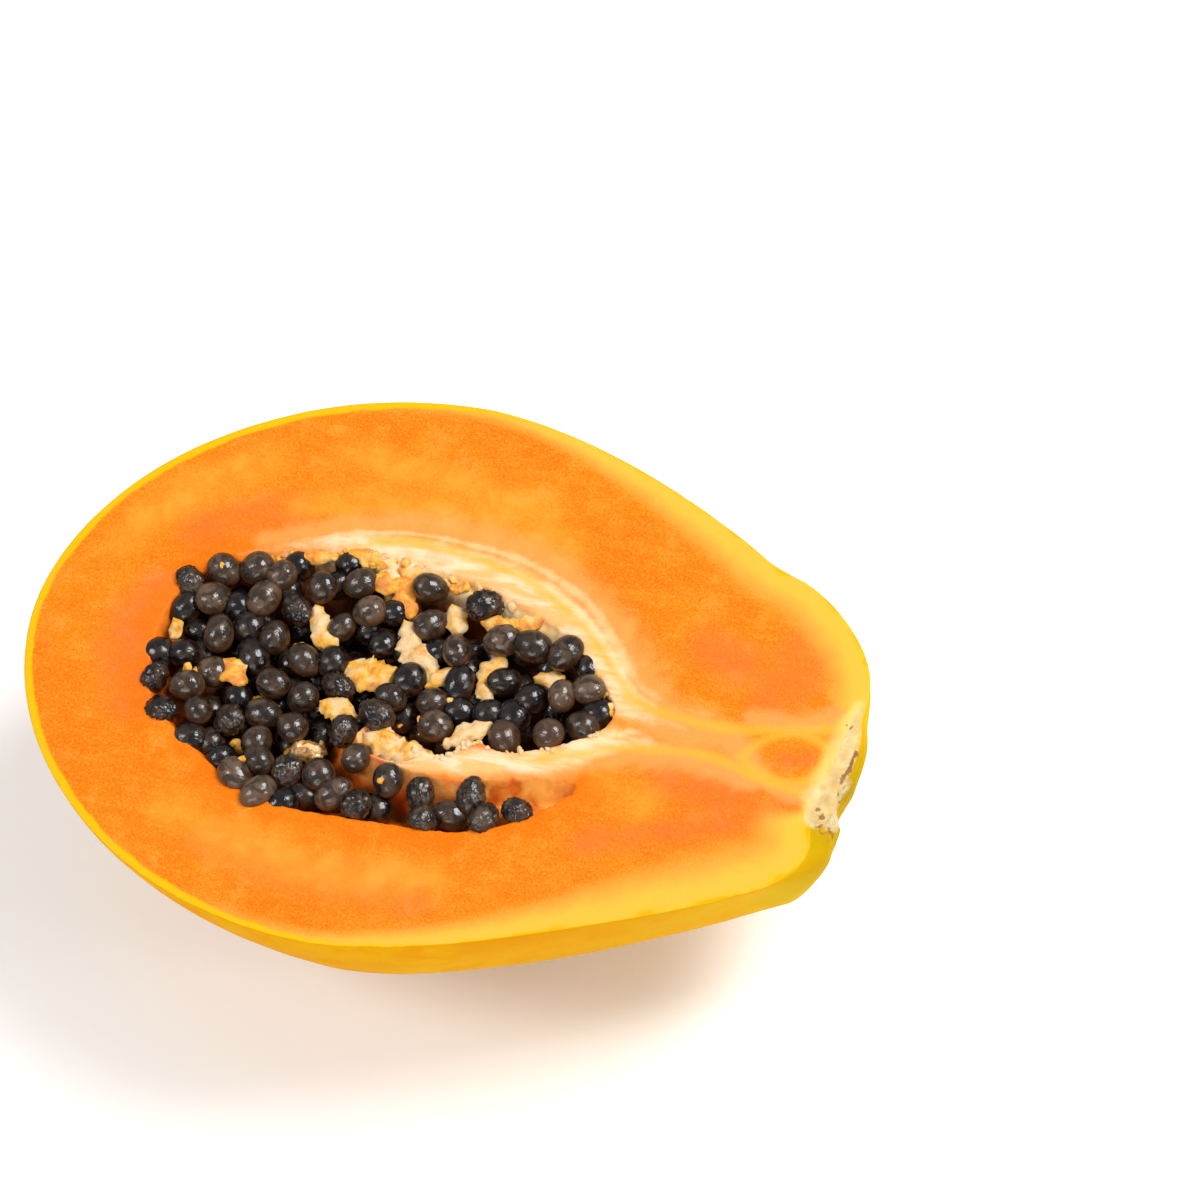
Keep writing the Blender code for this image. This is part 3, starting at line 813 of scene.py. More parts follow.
def flesh_finish():
    f = Finish("ripe_flesh")
    fine = f.noise(0.5, 3, 0.6)
    speck = f.noise(0.34, 2, 0.6)
    grain = f.noise(1.1, 4, 0.6)
    patch = f.noise(5, 4, 0.6, 0.3)
    broad = f.noise(19, 2, 0.5, 0.6)
    streak = f.noise(2.2, 3, 0.55, 0.3, f.stretched((0.22, 1, 1)))
    gap = f.mark("gap")
    far = f.mark("far")

    rind = f.wavering("rind", patch, -0.09, 0.09)
    blossom_side = f.mark("blossom_side")
    stem_side = f.minus(1.0, blossom_side)
    golden = f.minus(rind, f.times(blossom_side, 0.62))
    near_hollow = f.plus(gap, f.rise(patch, 0.2, 0.8, -3, 3))
    cream = f.layers(CREAM_DEEP, (streak, 0.4, 0.6, 1, CREAM), (patch, 0.5, 0.72, 0.35, PEACH))
    scar = f.layers(SCAR_CREAM, (patch, 0.35, 0.65, 1, SCAR_TAN), (grain, 0.52, 0.68, 0.7, SCAR_GREEN))
    tissue = f.layers(CREAM_DEEP, (patch, 0.3, 0.7, 1, CREAM), (grain, 0.5, 0.7, 0.7, GOLD_LINE))
    tongue = f.layers(PEACH, (grain, 0.35, 0.7, 1, CREAM_DEEP))
    lining = f.layers(
        LINING_DEEP,
        (patch, 0.35, 0.65, 1, LINING_BRIGHT),
        (f.times(far, 0.8), LINING_TAN),
        # Painted shade: the lining turns darker where the hollow is deeper
        (f.mark("deep"), 4, 7.5, 1, LINING_PAINTED_SHADE),
        (f.patchy("lobe", patch, 0.4, 0.65, 0.05, 0.85), LOBE_PINK),
        (f.times(f.patchy("tongue", patch, 0.3, 0.6, 0.35), 0.85), tongue),
        (f.mark("tissue"), tissue),
    )
    colour = f.layers(
        FLESH_DEEP,
        (broad, 0.34, 0.66, 1, FLESH_BRIGHT),
        (patch, 0.45, 0.75, 0.35, FLESH_PALE),
        (patch, 0.52, 0.28, 0.5, FLESH_RICH),
        (fine, 0.45, 0.66, 0.42, FLESH_FLECK),
        (streak, 0.45, 0.65, 0.22, FLESH_PALE),
        (grain, 0.5, 0.3, 0.18, FLESH_RICH),
        (speck, 0.5, 0.34, 0.7, FLESH_DARK),
        (f.patchy("blush", patch, 0.25, 0.7, 0.25, 0.75), FLESH_RED),
        (f.patchy("pale", patch, 0.25, 0.7, 0.3, 0.8), FLESH_PALE),
        (f.times(f.rise(near_hollow, 7, -1, 0, 0.6), f.minus(1.0, far)), FLESH_RICH),
        (f.wavering("glow", patch, -0.15, 0.15), 0.05, 1, 0.75, PEACH),
        (f.wavering("pith", patch, -0.16, 0.16), 0.1, 1, 0.85, cream),
        (f.wavering("white", patch, -0.4, 0.1), 0.05, 0.9, 0.5, CREAM_PALE),
        (f.wavering("vein", patch, -0.2, 0.5), 1.9, 0.1, 0.7, GOLD_LINE),
        (f.times(f.rise(rind, 1.5, 0.75, 0, 0.85), stem_side), RIND_PEACH),
        (f.times(f.rise(rind, 0.95, 0.4), stem_side), RIND_PALE),
        (golden, 0.24, -0.1, 1, RIND_GOLD),
        (rind, 0.07, 0, 1, RIND_EDGE),
        (f.wavering("scar_edge", patch, -0.1, 0.1), 0, 0.9, 0.9, SCAR_YELLOW),
        (f.wavering("scar", grain, -0.2, 0.2), 0.4, 1, 0.9, scar),
        (f.wavering("crack", fine, -0.25, 0.25), 0.35, 0.8, 0.9, SCAR_BROWN),
        (gap, 0.2, -1, 1, lining),
    )
    normal = f.bumps((patch, 0.4, 0.3), (grain, 0.05, 0.3), (fine, 0.03, 0.4))
    return f.settle(colour, f.rise(grain, 0.3, 0.7, 0.42, 0.58), normal,
                    {"Specular IOR Level": 0.1, **translucent(0.2, 2.5, 1, 0.3)})


def lining_finish(name="torn_lining"):
    """Torn lining: from orange-yellow to cream, by tone."""
    f = Finish(name)
    grain = f.noise(0.7, 4, 0.65, 0.5)
    patch = f.noise(2.4, 3, 0.6, 0.4)
    tone = f.wavering("tone", patch, -0.4, 0.4)
    colour = f.layers(
        BIT_ORANGE,
        (tone, 0, 0.5, 1, BIT_YELLOW),
        (tone, 0.4, 1, 1, BIT_CREAM),
        (patch, 0.48, 0.3, 0.6, BIT_TAN),
        (grain, 0.5, 0.72, 0.35, CREAM_PALE),
    )
    return f.settle(colour, f.rise(grain, 0.3, 0.7, 0.4, 0.6), f.bumps((grain, 0.25, 0.6)),
                    {"Specular IOR Level": 0.3, **translucent(0.25, 2, 1, 0.4)})


def skin_finish():
    f = Finish("golden_skin")
    pores = f.cells(1.5)
    specks = f.cells(4.2, f.stretched((1, 1, 1), (0.4, 0.3, 0.9)))
    mottle = f.noise(7, 4, 0.6, 0.5)
    fine = f.noise(1.1, 4, 0.6)
    broad = f.noise(34, 3, 0.5, 0.4)
    streaks = f.noise(9, 3, 0.6, 0.3, f.stretched((0.25, 1, 1)))
    scar = f.layers(SCAR_CREAM, (fine, 0.35, 0.65, 1, SCAR_TAN))
    colour = f.layers(
        SKIN_DEEP,
        (broad, 0.35, 0.65, 1, SKIN_GOLD),
        (mottle, 0.45, 0.7, 0.5, SKIN_WARM),
        (f.patchy("green", streaks, 0.3, 0.62, 0.25), SKIN_GREEN),
        (f.patchy("stem_green", mottle, 0.3, 0.65, 0.6, 0.95), SKIN_OLIVE),
        (specks, 0.09, 0.03, 0.35, SKIN_SPECK),
        (f.wavering("scar", mottle, -0.2, 0.2), 0.24, 0.8, 1, scar),
        (f.wavering("crack", fine, -0.3, 0.3), 0.32, 0.75, 0.95, SCAR_BROWN),
    )
    normal = f.bumps((f.rise(pores, 0.0, 0.35), 0.08, 0.35), (f.times(fine, f.mark("scar")), 0.8, 0.8))
    return f.settle(colour, f.rise(mottle, 0.3, 0.7, 0.5, 0.6), normal,
                    {"Specular IOR Level": 0.01, **translucent(0.1, 2, 1, 0.3)})


def jelly_finish(name, gloss=0.13, spread=0.34):
    """Seeds in their jelly: black, olive or grey-brown by tone, with painted light glowing through their
    lower sides.
    """
    f = Finish(name)
    veins = f.noise(2.4, 2, 0.5, 1.0)
    dents = f.noise(2.4, 1, 0.4)
    creases = f.noise(1.3, 2, 0.5, 0.8)
    upward = f.node("ShaderNodeSeparateXYZ", {0: f.node("ShaderNodeNewGeometry")["Normal"]})[2]
    tone = f.wavering("tone", veins, -spread, spread)
    # Painted light: amber on the downward-facing sides stands in for light glowing through the jelly
    painted_underside_glow = f.times(f.rise(upward, 0.6, -0.1, 0, 0.7), f.rise(tone, 0.0, 0.5, 0.3, 1.0))
    colour = f.layers(
        JELLY_BLACK, (tone, 0, 0.6, 1, JELLY_OLIVE), (tone, 0.55, 1.15, 1, JELLY_GREY),
        (f.mark("amber"), JELLY_AMBER), (painted_underside_glow, JELLY_PAINTED_GLOW))
    return f.settle(colour, f.rise(veins, 0.3, 0.7, gloss, gloss + 0.14),
                    f.bumps((dents, 0.34, 0.55), (creases, 0.26, 0.5)), {"Specular IOR Level": 0.5})


def amber_finish():
    f = Finish("burst_skin")
    veins = f.noise(1.2, 4, 0.6, 1.0)
    patch = f.noise(2.6, 2, 0.5, 0.6)
    colour = f.layers(
        AMBER_DARK, (veins, 0.35, 0.65, 1, AMBER_LIGHT), (patch, 0.52, 0.62, 1, CREAM_DEEP))
    return f.settle(colour, f.rise(veins, 0.3, 0.7, 0.12, 0.3), f.bumps((veins, 0.3, 0.5)),
                    {"Coat Weight": 0.5, "Coat Roughness": 0.06, **translucent(0.3, 2, 1, 0.4)})


# ---------------------------------------------------------------- building

def placed(name, data):
    thing = bpy.data.objects.new(name, data)
    bpy.context.scene.collection.objects.link(thing)
    return thing


def shown(mesh, name, *finishes):
    for finish in finishes:
        mesh.materials.append(finish)
    return placed(name, mesh)


class Grower(Tree):
    """A Geometry Nodes tree with named sizes."""

    def __init__(self, name):
        super().__init__(bpy.data.node_groups.new(name, "GeometryNodeTree"))
        for way in ("INPUT", "OUTPUT"):
            self.tree.interface.new_socket("Geometry", in_out=way, socket_type="NodeSocketGeometry")
        self.start = self.tree.nodes.new("NodeGroupInput")
        self.values = {}

    def size(self, name, value):
        socket = self.tree.interface.new_socket(name, in_out="INPUT", socket_type="NodeSocketFloat")
        self.values[socket.identifier] = value
        return self.start.outputs[name]

    def mark(self, name):
        return self.node("GeometryNodeInputNamedAttribute", {"Name": name},
                         data_type="FLOAT_VECTOR")["Attribute"]

    def grow(self, geometry, points, name, finish):
        """Ends the tree, runs it on the points and returns the plain piece."""
        realized = self.node("GeometryNodeRealizeInstances", {"Geometry": geometry})[0]
        smooth_faces = self.node("GeometryNodeSetShadeSmooth", {"Geometry": realized})[0]
        painted = self.node("GeometryNodeSetMaterial", {"Geometry": smooth_faces, "Material": finish})[0]
        self.node("NodeGroupOutput", {0: painted})
        piece = placed(name, points)
        modifier = piece.modifiers.new(name, "NODES")
        modifier.node_group = self.tree
        for identifier, value in self.values.items():
            modifier[identifier] = value
        evaluated = piece.evaluated_get(bpy.context.evaluated_depsgraph_get())
        mesh = bpy.data.meshes.new_from_object(evaluated)
        piece.modifiers.remove(modifier)
        piece.data = mesh
        mesh.name = name
        return piece


def point_cloud(name, places, **marks):
    """A mesh of loose points with marks on them, such as each one's turn, size and tone."""
    mesh = bpy.data.meshes.new(name)
    mesh.from_pydata([tuple(place) for place in places], [], [])
    for mark, values in marks.items():
        values = np.array(values, np.float32)
        kind, key = ("FLOAT_VECTOR", "vector") if values.ndim == 2 else ("FLOAT", "value")
        mesh.attributes.new(mark, kind, "POINT").data.foreach_set(key, values.ravel())
    return mesh


LUMP_SIZES = ("Half Length", "Half Width", "Half Thickness", "Dent Depth", "Dent Size", "Ridge Depth",
              "Narrowing", "Shuffle")


def lumps_on_points(points, name, finish, facets, radii, dent_depth, dent_size, ridges, narrowing, shuffle):
    """Rounded lumps on points: each oval, a little dented, and ridged where it has dried."""
    g = Grower(name + "_tree")
    values = (*radii, dent_depth, dent_size, ridges, narrowing, shuffle)
    length, width, thickness, dent_depth, dent_size, ridges, narrowing, shuffle = [
        g.size(title, value) for title, value in zip(LUMP_SIZES, values)]
    ball = g.node("GeometryNodeMeshIcoSphere", {"Radius": 1.0, "Subdivisions": facets})[0]
    place = g.node("GeometryNodeInputPosition")[0]
    axes = g.node("ShaderNodeSeparateXYZ", {0: place})
    narrow = g.minus(1.0, g.times(axes[0], narrowing))
    shaped = g.node("ShaderNodeCombineXYZ", {
        0: g.times(axes[0], length),
        1: g.times(g.times(axes[1], width), narrow),
        2: g.times(g.times(axes[2], thickness), narrow),
    })[0]
    oval = g.node("GeometryNodeSetPosition", {"Geometry": ball, "Position": shaped})[0]
    turned = g.node("FunctionNodeEulerToRotation", {0: g.mark("turn")})[0]
    laid = g.node("GeometryNodeInstanceOnPoints", {
        "Points": g.start.outputs[0], "Instance": oval, "Rotation": turned, "Scale": g.mark("size"),
    })[0]
    solid = g.node("GeometryNodeRealizeInstances", {"Geometry": laid})[0]
    shift = g.node("ShaderNodeCombineXYZ", {axis: shuffle for axis in range(3)})[0]
    shifted = g.node("ShaderNodeVectorMath", {0: place, 1: shift}, operation="ADD")[0]
    dents = g.node("ShaderNodeTexNoise", {
        "Vector": shifted, "Scale": g.sum("DIVIDE", 1.0, dent_size), "Detail": 2.0,
    })[0]
    folds = g.node("ShaderNodeTexVoronoi", {
        "Vector": shifted, "Scale": g.sum("DIVIDE", 1.6, dent_size),
    }, feature="DISTANCE_TO_EDGE")["Distance"]
    sunk = g.times(g.minus(dents, 0.5), g.times(dent_depth, 2.0))
    folded = g.times(g.sum("MINIMUM", g.times(folds, 3.0), 1.0), ridges)
    out = g.node("ShaderNodeVectorMath", {
        0: g.node("GeometryNodeInputNormal")[0], "Scale": g.minus(sunk, folded),
    }, operation="SCALE")[0]
    dented = g.node("GeometryNodeSetPosition", {"Geometry": solid, "Offset": out})[0]
    return g.grow(dented, points, name, finish)


# ---------------------------------------------------------------- the seeds

WALL_CLEARANCE = 2.45 * MM
HIGHEST_BELOW_CUT = 3.4 * MM
FILLED_BELOW_CUT = 4.9 * MM
SEED_RADIUS = 2.8 * MM
SEED_RADII = (3.3 * MM, 2.75 * MM, 2.7 * MM)
TOUCHING = 2 * SEED_RADIUS * 0.9
DIP_PITCH = 0.5 * MM
DIP_SPREAD = 0.8 * MM
WALL_KEPT_CLEAR = 2 * MM
EASING_STEPS = 90
PUSHED_APART = (0.4, 0.4, 0.7)
DRAWN_HOME = (0.22, 0.22, 0.08)
HIGHEST_LIFT = 1.6 * MM
# Where the seeds on top lie, by kind, in millimetres across the cut face
PLUMP_AT = [
    (-45, 13), (-39, 14.5), (-25.5, 14), (-19.5, 15.5), (-20.5, 7), (-42, 1), (-32, 2.5), (-25, -1),
    (-29, -6.5), (-23, -8), (-29, -12.5), (-40.5, -14.5), (-22.5, -14.5), (-28, -18.5), (0.5, -4), (2, 6),
    (-4.5, 10.5), (-6.5, 17), (15, 9.5), (21.5, 9), (-26, -22.5), (-15, -22.5), (-9, -18), (-10.5, -25.5),
    (-2, -21), (10.5, -24.5), (-7, -4.5), (29, -3),
]
DULL_AT = [
    (-33.5, 13.5), (-45, 7), (-36, 9), (-15.5, 10.5), (-44.5, -10), (23.5, 1), (28, 3), (10, 8.5),
    (2.5, -8.5), (-29.5, -25.5), (-24, -28), (-40.5, -5.5),
]
CLEAR_AT = [(15.5, -8.2), (23.5, -6.6)]
BLACK_AT = [
    (-32.5, 17), (-23.5, 19), (-50, 5), (-47, 2), (-40, 7.5), (-37.5, 4.5), (-12.5, 6), (-12.5, 11.5),
    (-34.5, -2), (-51, -4.5), (-46.5, -3), (-20, 1.5), (-35, -10), (-38.5, -19.5), (-6, -0.5), (4.5, 0.5),
    (5.5, -4.5), (12, 2.5), (-3, 6), (26, 8), (18.5, 0), (15.5, -3.5), (11, -3.5), (-34, -22), (-19, -27.5),
    (30.2, -0.6),
]
WRINKLED_AT = [
    (-50.5, 9.5), (-29.5, 8.5), (-17.5, -4.5), (-50.5, -10), (-34.5, -15), (-47, -16), (-13, -13.5),
    (-8, -9), (4.5, 15.5), (-21, -23), (-5.5, -26), (13.5, -20.8), (17, -24.5), (22.5, -22), (4.5, -22.5),
    (6.5, -27),
]
# (places, depth in millimetres below the cut, tone, how amber)
SEED_KINDS = [
    (PLUMP_AT, 2.2, 0.55, 0), (DULL_AT, 2.0, 0.9, 0), (CLEAR_AT, 1.9, 0.5, 0.3), (BLACK_AT, 3.9, 0.05, 0),
    (WRINKLED_AT, 2.3, 0.4, 0),
]
HIDDEN_TONE = 0.25
# Torn flaps of the lining: how pale, and the middle line as (x, y, half width, depth), in millimetres
FLAPS = [
    (0.45, [(-17.4, 0.4, 1.8, 2.0), (-13.8, -1.2, 2.9, 1.3), (-10, -0.8, 2.5, 1.3), (-7.2, 0.8, 1.3, 1.9)]),
    (0.95, [(-9.6, 10.4, 1.3, 1.4), (-7.6, 7.4, 2.3, 1.1), (-5.2, 4, 2.7, 1.1), (-2.4, 1.2, 2.2, 1.4),
        (-0.8, -0.6, 1.1, 2.2)]),
    (0.6, [(-1.8, -1.6, 0.8, 1.8), (0.1, 0.6, 1.5, 1.1), (2.6, 3, 0.9, 1.6)]),
    (0.25, [(-18.4, 16.8, 0.8, 0.6), (-16.4, 16.4, 1.6, 0), (-14.2, 16, 1.8, -0.2), (-12.2, 17.2, 1.5, 0)]),
    (0.1, [(-12.4, 18, 1.6, 0), (-10.8, 15.2, 2.1, 0), (-9.6, 12.8, 1.8, 0.5), (-8.4, 10.8, 0.9, 1.2)]),
    (0.7, [(-1.8, 14.8, 1.2, 1.1), (-0.4, 12.4, 2, 0.9), (1.2, 9.8, 1.4, 1.5)]),
    (0.6, [(-19.2, -8.6, 1.2, 0.7), (-16.8, -9.2, 2, 0.1), (-14, -9.9, 1.8, 0.1), (-11.4, -10, 0.8, 0.7)]),
    (0.4, [(-39.8, -4, 1.3, 0.9), (-37.4, -5.9, 2.2, 0.2), (-35.4, -7.2, 1.9, 0.2),
        (-33.8, -7.8, 0.9, 0.8)]),
    (0.6, [(-26.6, 10.2, 1.1, 1.4), (-25, 7.4, 1.7, 0.9), (-23.4, 5, 2, 0.9), (-21.4, 3.2, 1.7, 1.1),
        (-19.8, 2, 0.8, 1.7)]),
    (0.4, [(4.6, 12.2, 0.7, 0.2), (7.8, 12, 1.6, -0.7), (11, 12.2, 1.4, -1), (13.6, 13.6, 1.6, -0.6),
        (16, 15, 0.8, 0.4)]),
    (0.4, [(10.6, 12.8, 1.1, -0.9), (11.4, 10.8, 0.9, -0.9), (11.7, 9.2, 0.4, -0.4)]),
    (0.85, [(7.6, 1.4, 1.3, 1.9), (8.8, 4.4, 1.8, 1.5), (10.2, 7.6, 1.1, 1.9)]),
    (0.75, [(16.8, 4.2, 1.1, 2), (19.6, 4.7, 2, 1.5), (22.6, 4.4, 1, 2.1)]),
    (0.8, [(7.4, 1.6, 1, 1.8), (9.2, -0.2, 1.4, 1.6), (10.4, -2.2, 0.8, 2.2)]),
    (1.0, [(5.4, -12.4, 1.2, 0.5), (8.6, -9.6, 1.7, 0.1), (11, -7.8, 1.6, 0.1), (12.8, -6.4, 0.8, 0.5)]),
    (0.8, [(8.2, 17, 1, 0.4), (10.8, 16.4, 1.5, 0.3), (13.2, 15.4, 1, 0.6)]),
    (0.25, [(-33.4, 17.4, 0.7, 0.4), (-30, 18.8, 1.2, 0.1), (-27, 19.6, 1.1, 0.2),
        (-24.4, 20.6, 0.6, 0.4)]),
    (0.35, [(-25.4, 20.4, 1.1, 0.2), (-21, 21, 1.8, 0), (-17.6, 20.4, 1.6, 0.2), (-14.8, 19.4, 0.9, 0.5)]),
    (0.5, [(-13.4, 19.4, 1.3, 0.2), (-9.4, 19.2, 2, 0), (-5.4, 18.8, 1.6, 0.3), (-1.8, 18, 0.9, 0.7)]),
    (0.6, [(-50.4, -2, 0.7, 0.8), (-50, 0, 1.5, 0.2), (-51.2, 2, 0.9, 0.4)]),
    (0.7, [(-9.6, -12.8, 1.0, 0.9), (-6.4, -14, 2.3, 0.1), (-2, -14.8, 2.5, 0), (2.4, -15.2, 1.6, 0.2),
        (5.6, -15.6, 0.8, 0.5)]),
]
FLAP_STEP = 0.3 * MM
FLAP_AMONG_SEEDS = 0.85 * MM
FLAP_COLUMNS = 15
FLAP_THICKNESS = 0.8 * MM
FLAP_SAG = 0.8 * MM
# Crumbs lying on the seeds: (x, y, radius), in millimetres
CRUMBS = [
    (-27.5, 2.2, 1.0), (-31, -10, 1.1), (-31.5, -19, 1.2), (-33, -18.4, 0.8), (-4.5, -9, 0.55),
    (0, -8.5, 0.6), (4, -3.5, 0.7), (-28.5, -23, 0.7), (-44.5, -8, 0.8), (-43.4, -7.2, 0.6),
    (-2.4, -22.4, 0.5), (8, -21.6, 0.6), (-44.6, 12.6, 0.5), (-21.4, -17.2, 1.0), (-22.6, -18.4, 0.9),
    (-20.2, -16.4, 0.9), (-17.4, -15.6, 0.8),
]
CRUMB_SHAPE = (1.45, 1.15, 0.72)
WALL_CRUMBS, CREST_CRUMBS = 64, 46
BURST_SEED_AT = (-18.6 * MM, -17.9 * MM)


class Heap:
    """The heights at which things come to rest in the hollow, on a fine grid."""

    def __init__(self, hollow):
        low, high = hollow.edge.min(axis=0) - 4 * MM, hollow.edge.max(axis=0) + 4 * MM
        columns, rows = (int(reach / DIP_PITCH) for reach in high - low)
        x, y = np.meshgrid(low[0] + np.arange(columns) * DIP_PITCH, low[1] + np.arange(rows) * DIP_PITCH)
        self.places = np.column_stack([x.ravel(), y.ravel()])
        self.gap = hollow.gap(self.places)
        bottom = CUT_HEIGHT - hollow.depth(self.places, self.gap)
        self.floor = self.over(bottom.reshape(x.shape), WALL_CLEARANCE)
        self.rest = self.floor.copy()
        self.kept_clear = hollow.tissue(self.places)[1] > 0.6

    def over(self, surface, radius):
        """The height of a ball's middle as it rests on the surface at each place."""
        best = np.full(surface.shape, -1.0)
        reach = int(radius / DIP_PITCH)
        for across in range(-reach, reach + 1):
            for along in range(-reach, reach + 1):
                rise = radius ** 2 - (across ** 2 + along ** 2) * DIP_PITCH ** 2
                if rise >= 0:
                    moved = np.roll(surface, (across, along), axis=(0, 1))
                    best = np.maximum(best, moved + math.sqrt(rise))
        return best.ravel()

    def off(self, place):
        """The squared distance of every place on the grid from this one."""
        return ((self.places - np.array(place[:2])) ** 2).sum(axis=1)

    def nearest(self, place):
        return int(self.off(place).argmin())

    def add(self, place):
        """Raises the heights around a seed that now lies at this place."""
        rise = TOUCHING ** 2 - self.off(place)
        above = place[2] + np.sqrt(np.clip(rise, 0, None))
        self.rest = np.where(rise > 0, np.maximum(self.rest, above), self.rest)


def seeds_below(heap, chance):
    """The seeds on the floor of the hollow, then more of them, each in the lowest dip left."""
    placed_at = []
    for name in SEED_NODES:
        low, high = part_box(name)
        middle = (low + high) / 2
        height = max(middle.z, heap.rest[heap.nearest(middle)] - 0.4 * MM)
        if height < CUT_HEIGHT - HIGHEST_BELOW_CUT:
            placed_at.append((middle.x, middle.y, height))
    for place in placed_at:
        heap.add(place)
    closed = (heap.gap > -WALL_KEPT_CLEAR) | heap.kept_clear
    while True:
        spread = chance.uniform(0, DIP_SPREAD, len(heap.places))
        index = int(np.argmin(np.where(closed, 1, heap.rest + spread)))
        if closed[index] or heap.rest[index] > CUT_HEIGHT - FILLED_BELOW_CUT:
            return np.array(placed_at)
        placed_at.append((*heap.places[index], heap.rest[index]))
        heap.add(placed_at[-1])


def eased_apart(places, below, heap):
    """Moves the seeds on top until they hardly cut into each other, the wall or the torn flaps."""
    home, every = places.copy(), np.arange(len(places))
    flaps = np.vstack([rounded_line(line)[::6] for _, line in FLAPS])
    flaps = flaps[flaps[:, 3] > FLAP_AMONG_SEEDS]
    for _ in range(EASING_STEPS):
        off = places[:, None] - np.vstack([places, below])[None]
        gap = np.linalg.norm(off, axis=2)
        gap[every, every] = 1
        push = off / gap[..., None] * np.clip(TOUCHING - gap, 0, None)[..., None]
        push[:, :len(places)] *= 0.5
        places = places + push.sum(axis=1) * PUSHED_APART + (home - places) * DRAWN_HOME
        off = places[:, None, :2] - flaps[None, :, :2]
        gap = np.linalg.norm(off, axis=2)
        cuts_in = 0.8 * flaps[:, 2] + 0.62 * SEED_RADIUS - gap
        worst = every, cuts_in.argmax(axis=1)
        away = off[worst] / gap[worst][:, None]
        places[:, :2] += away * np.clip(cuts_in[worst], 0, None)[:, None] * 0.5
        floor = np.array([heap.floor[heap.nearest(place)] for place in places])
        highest = home[:, 2] + HIGHEST_LIFT
        places[:, 2] = np.minimum(np.maximum(places[:, 2], floor), highest)
    return places


def lay_seeds(heap):
    chance = np.random.default_rng(5)
    below = seeds_below(heap, chance)
    spots = [(x * MM, y * MM, CUT_HEIGHT - sunk * MM) for group, sunk, _, _ in SEED_KINDS for x, y in group]
    places = np.vstack([below, eased_apart(np.array(spots), below, heap)])
    count = len(places)
    kinds = [(below, 0, HIDDEN_TONE, 0), *SEED_KINDS]
    tone, amber = (
        np.concatenate([np.full(len(kind[0]), kind[column]) for kind in kinds]) for column in (2, 3))
    tone = tone + chance.uniform(-0.12, 0.12, count)
    turns = np.column_stack([
        chance.uniform(low, high, count) for low, high in ((-0.4, 0.4), (-0.5, 0.5), (0, 2 * np.pi))])
    sizes = chance.uniform(0.92, 1.1, (count, 3)) * chance.uniform(0.93, 1.06, (count, 1))
    wrinkled = np.arange(count) >= count - len(WRINKLED_AT)
    pieces = []
    for name, chosen, finish, facets, dents in (
        ("seeds", ~wrinkled, jelly_finish("seed_jelly"), 3, (0.09 * MM, 3.2 * MM, 0.0)),
        ("shrivelled_seeds", wrinkled, jelly_finish("dried_jelly", 0.2, 0.45), 4,
         (0.45 * MM, 1.8 * MM, 0.6 * MM)),
    ):
        cloud = point_cloud(name, places[chosen], turn=turns[chosen], size=sizes[chosen],
                            tone=tone[chosen], amber=amber[chosen])
        pieces.append(lumps_on_points(cloud, name, finish, facets, SEED_RADII, *dents, 0.08, 3.0))
    return pieces, places


def top_of(places, x, y):
    """The height of the uppermost seed's surface over a spot, or -1 where no seed lies."""
    rise = (SEED_RADIUS * 1.02) ** 2 - ((places[:, :2] - (x, y)) ** 2).sum(axis=1)
    return np.where(rise > 0, places[:, 2] + np.sqrt(np.clip(rise, 0, None)), -1).max()


def lay_crumbs(hollow, seeds_at):
    """Crumbs of lining on top of the seeds, along the far wall and on the crest of the tongue."""
    chance = np.random.default_rng(8)
    spots, radii, tones = [], [], []

    def lay(x, y, height, radius, tone):
        spots.append((x, y, height))
        radii.append(np.array(CRUMB_SHAPE) * radius * chance.uniform(0.8, 1.2, 3))
        tones.append(tone + chance.uniform(-0.15, 0.15))

    for x, y, radius in CRUMBS:
        height = max(top_of(seeds_at, x * MM, y * MM), CUT_HEIGHT - 4 * MM)
        lay(x * MM, y * MM, height + 0.25 * radius * MM, radius * MM, 0.45)
    far = hollow.wall[(hollow.wall[:, 1] > -1 * MM) & (hollow.wall[:, 0] > -42 * MM)]
    ahead = np.gradient(far, axis=0)
    inwards = unit(np.column_stack([ahead[:, 1], -ahead[:, 0]]))
    for _ in range(WALL_CRUMBS):
        index = chance.integers(len(far))
        inset = chance.uniform(0.3, 2.2) * MM
        x, y = far[index] + inwards[index] * inset
        lay(x, y, CUT_HEIGHT - (0.35 + chance.uniform(0.2, 0.7) * inset / MM) * MM,
            chance.uniform(0.35, 0.95) * MM, chance.uniform(0.1, 0.8))
    crest = hollow.tongue[hollow.tongue[:, 1] > -15.5 * MM]
    crest = crest[:int(len(crest) * 0.62)]
    for _ in range(CREST_CRUMBS):
        x, y = crest[chance.integers(len(crest))] + chance.uniform(-0.5, 0.5, 2) * MM
        lay(x, y, CUT_HEIGHT - chance.uniform(0.2, 0.8) * MM, chance.uniform(0.3, 0.7) * MM, 0.95)
    turns = np.column_stack([
        chance.uniform(-0.5, 0.5, (len(spots), 2)), chance.uniform(0, 2 * np.pi, len(spots))])
    cloud = point_cloud("torn_lining", spots, turn=turns, size=np.array(radii) / MM, tone=tones)
    return lumps_on_points(cloud, "torn_lining", lining_finish(), 3, (MM, MM, MM), 0.75 * MM, 1.9 * MM,
                           0.2 * MM, 0.2, 7.0)


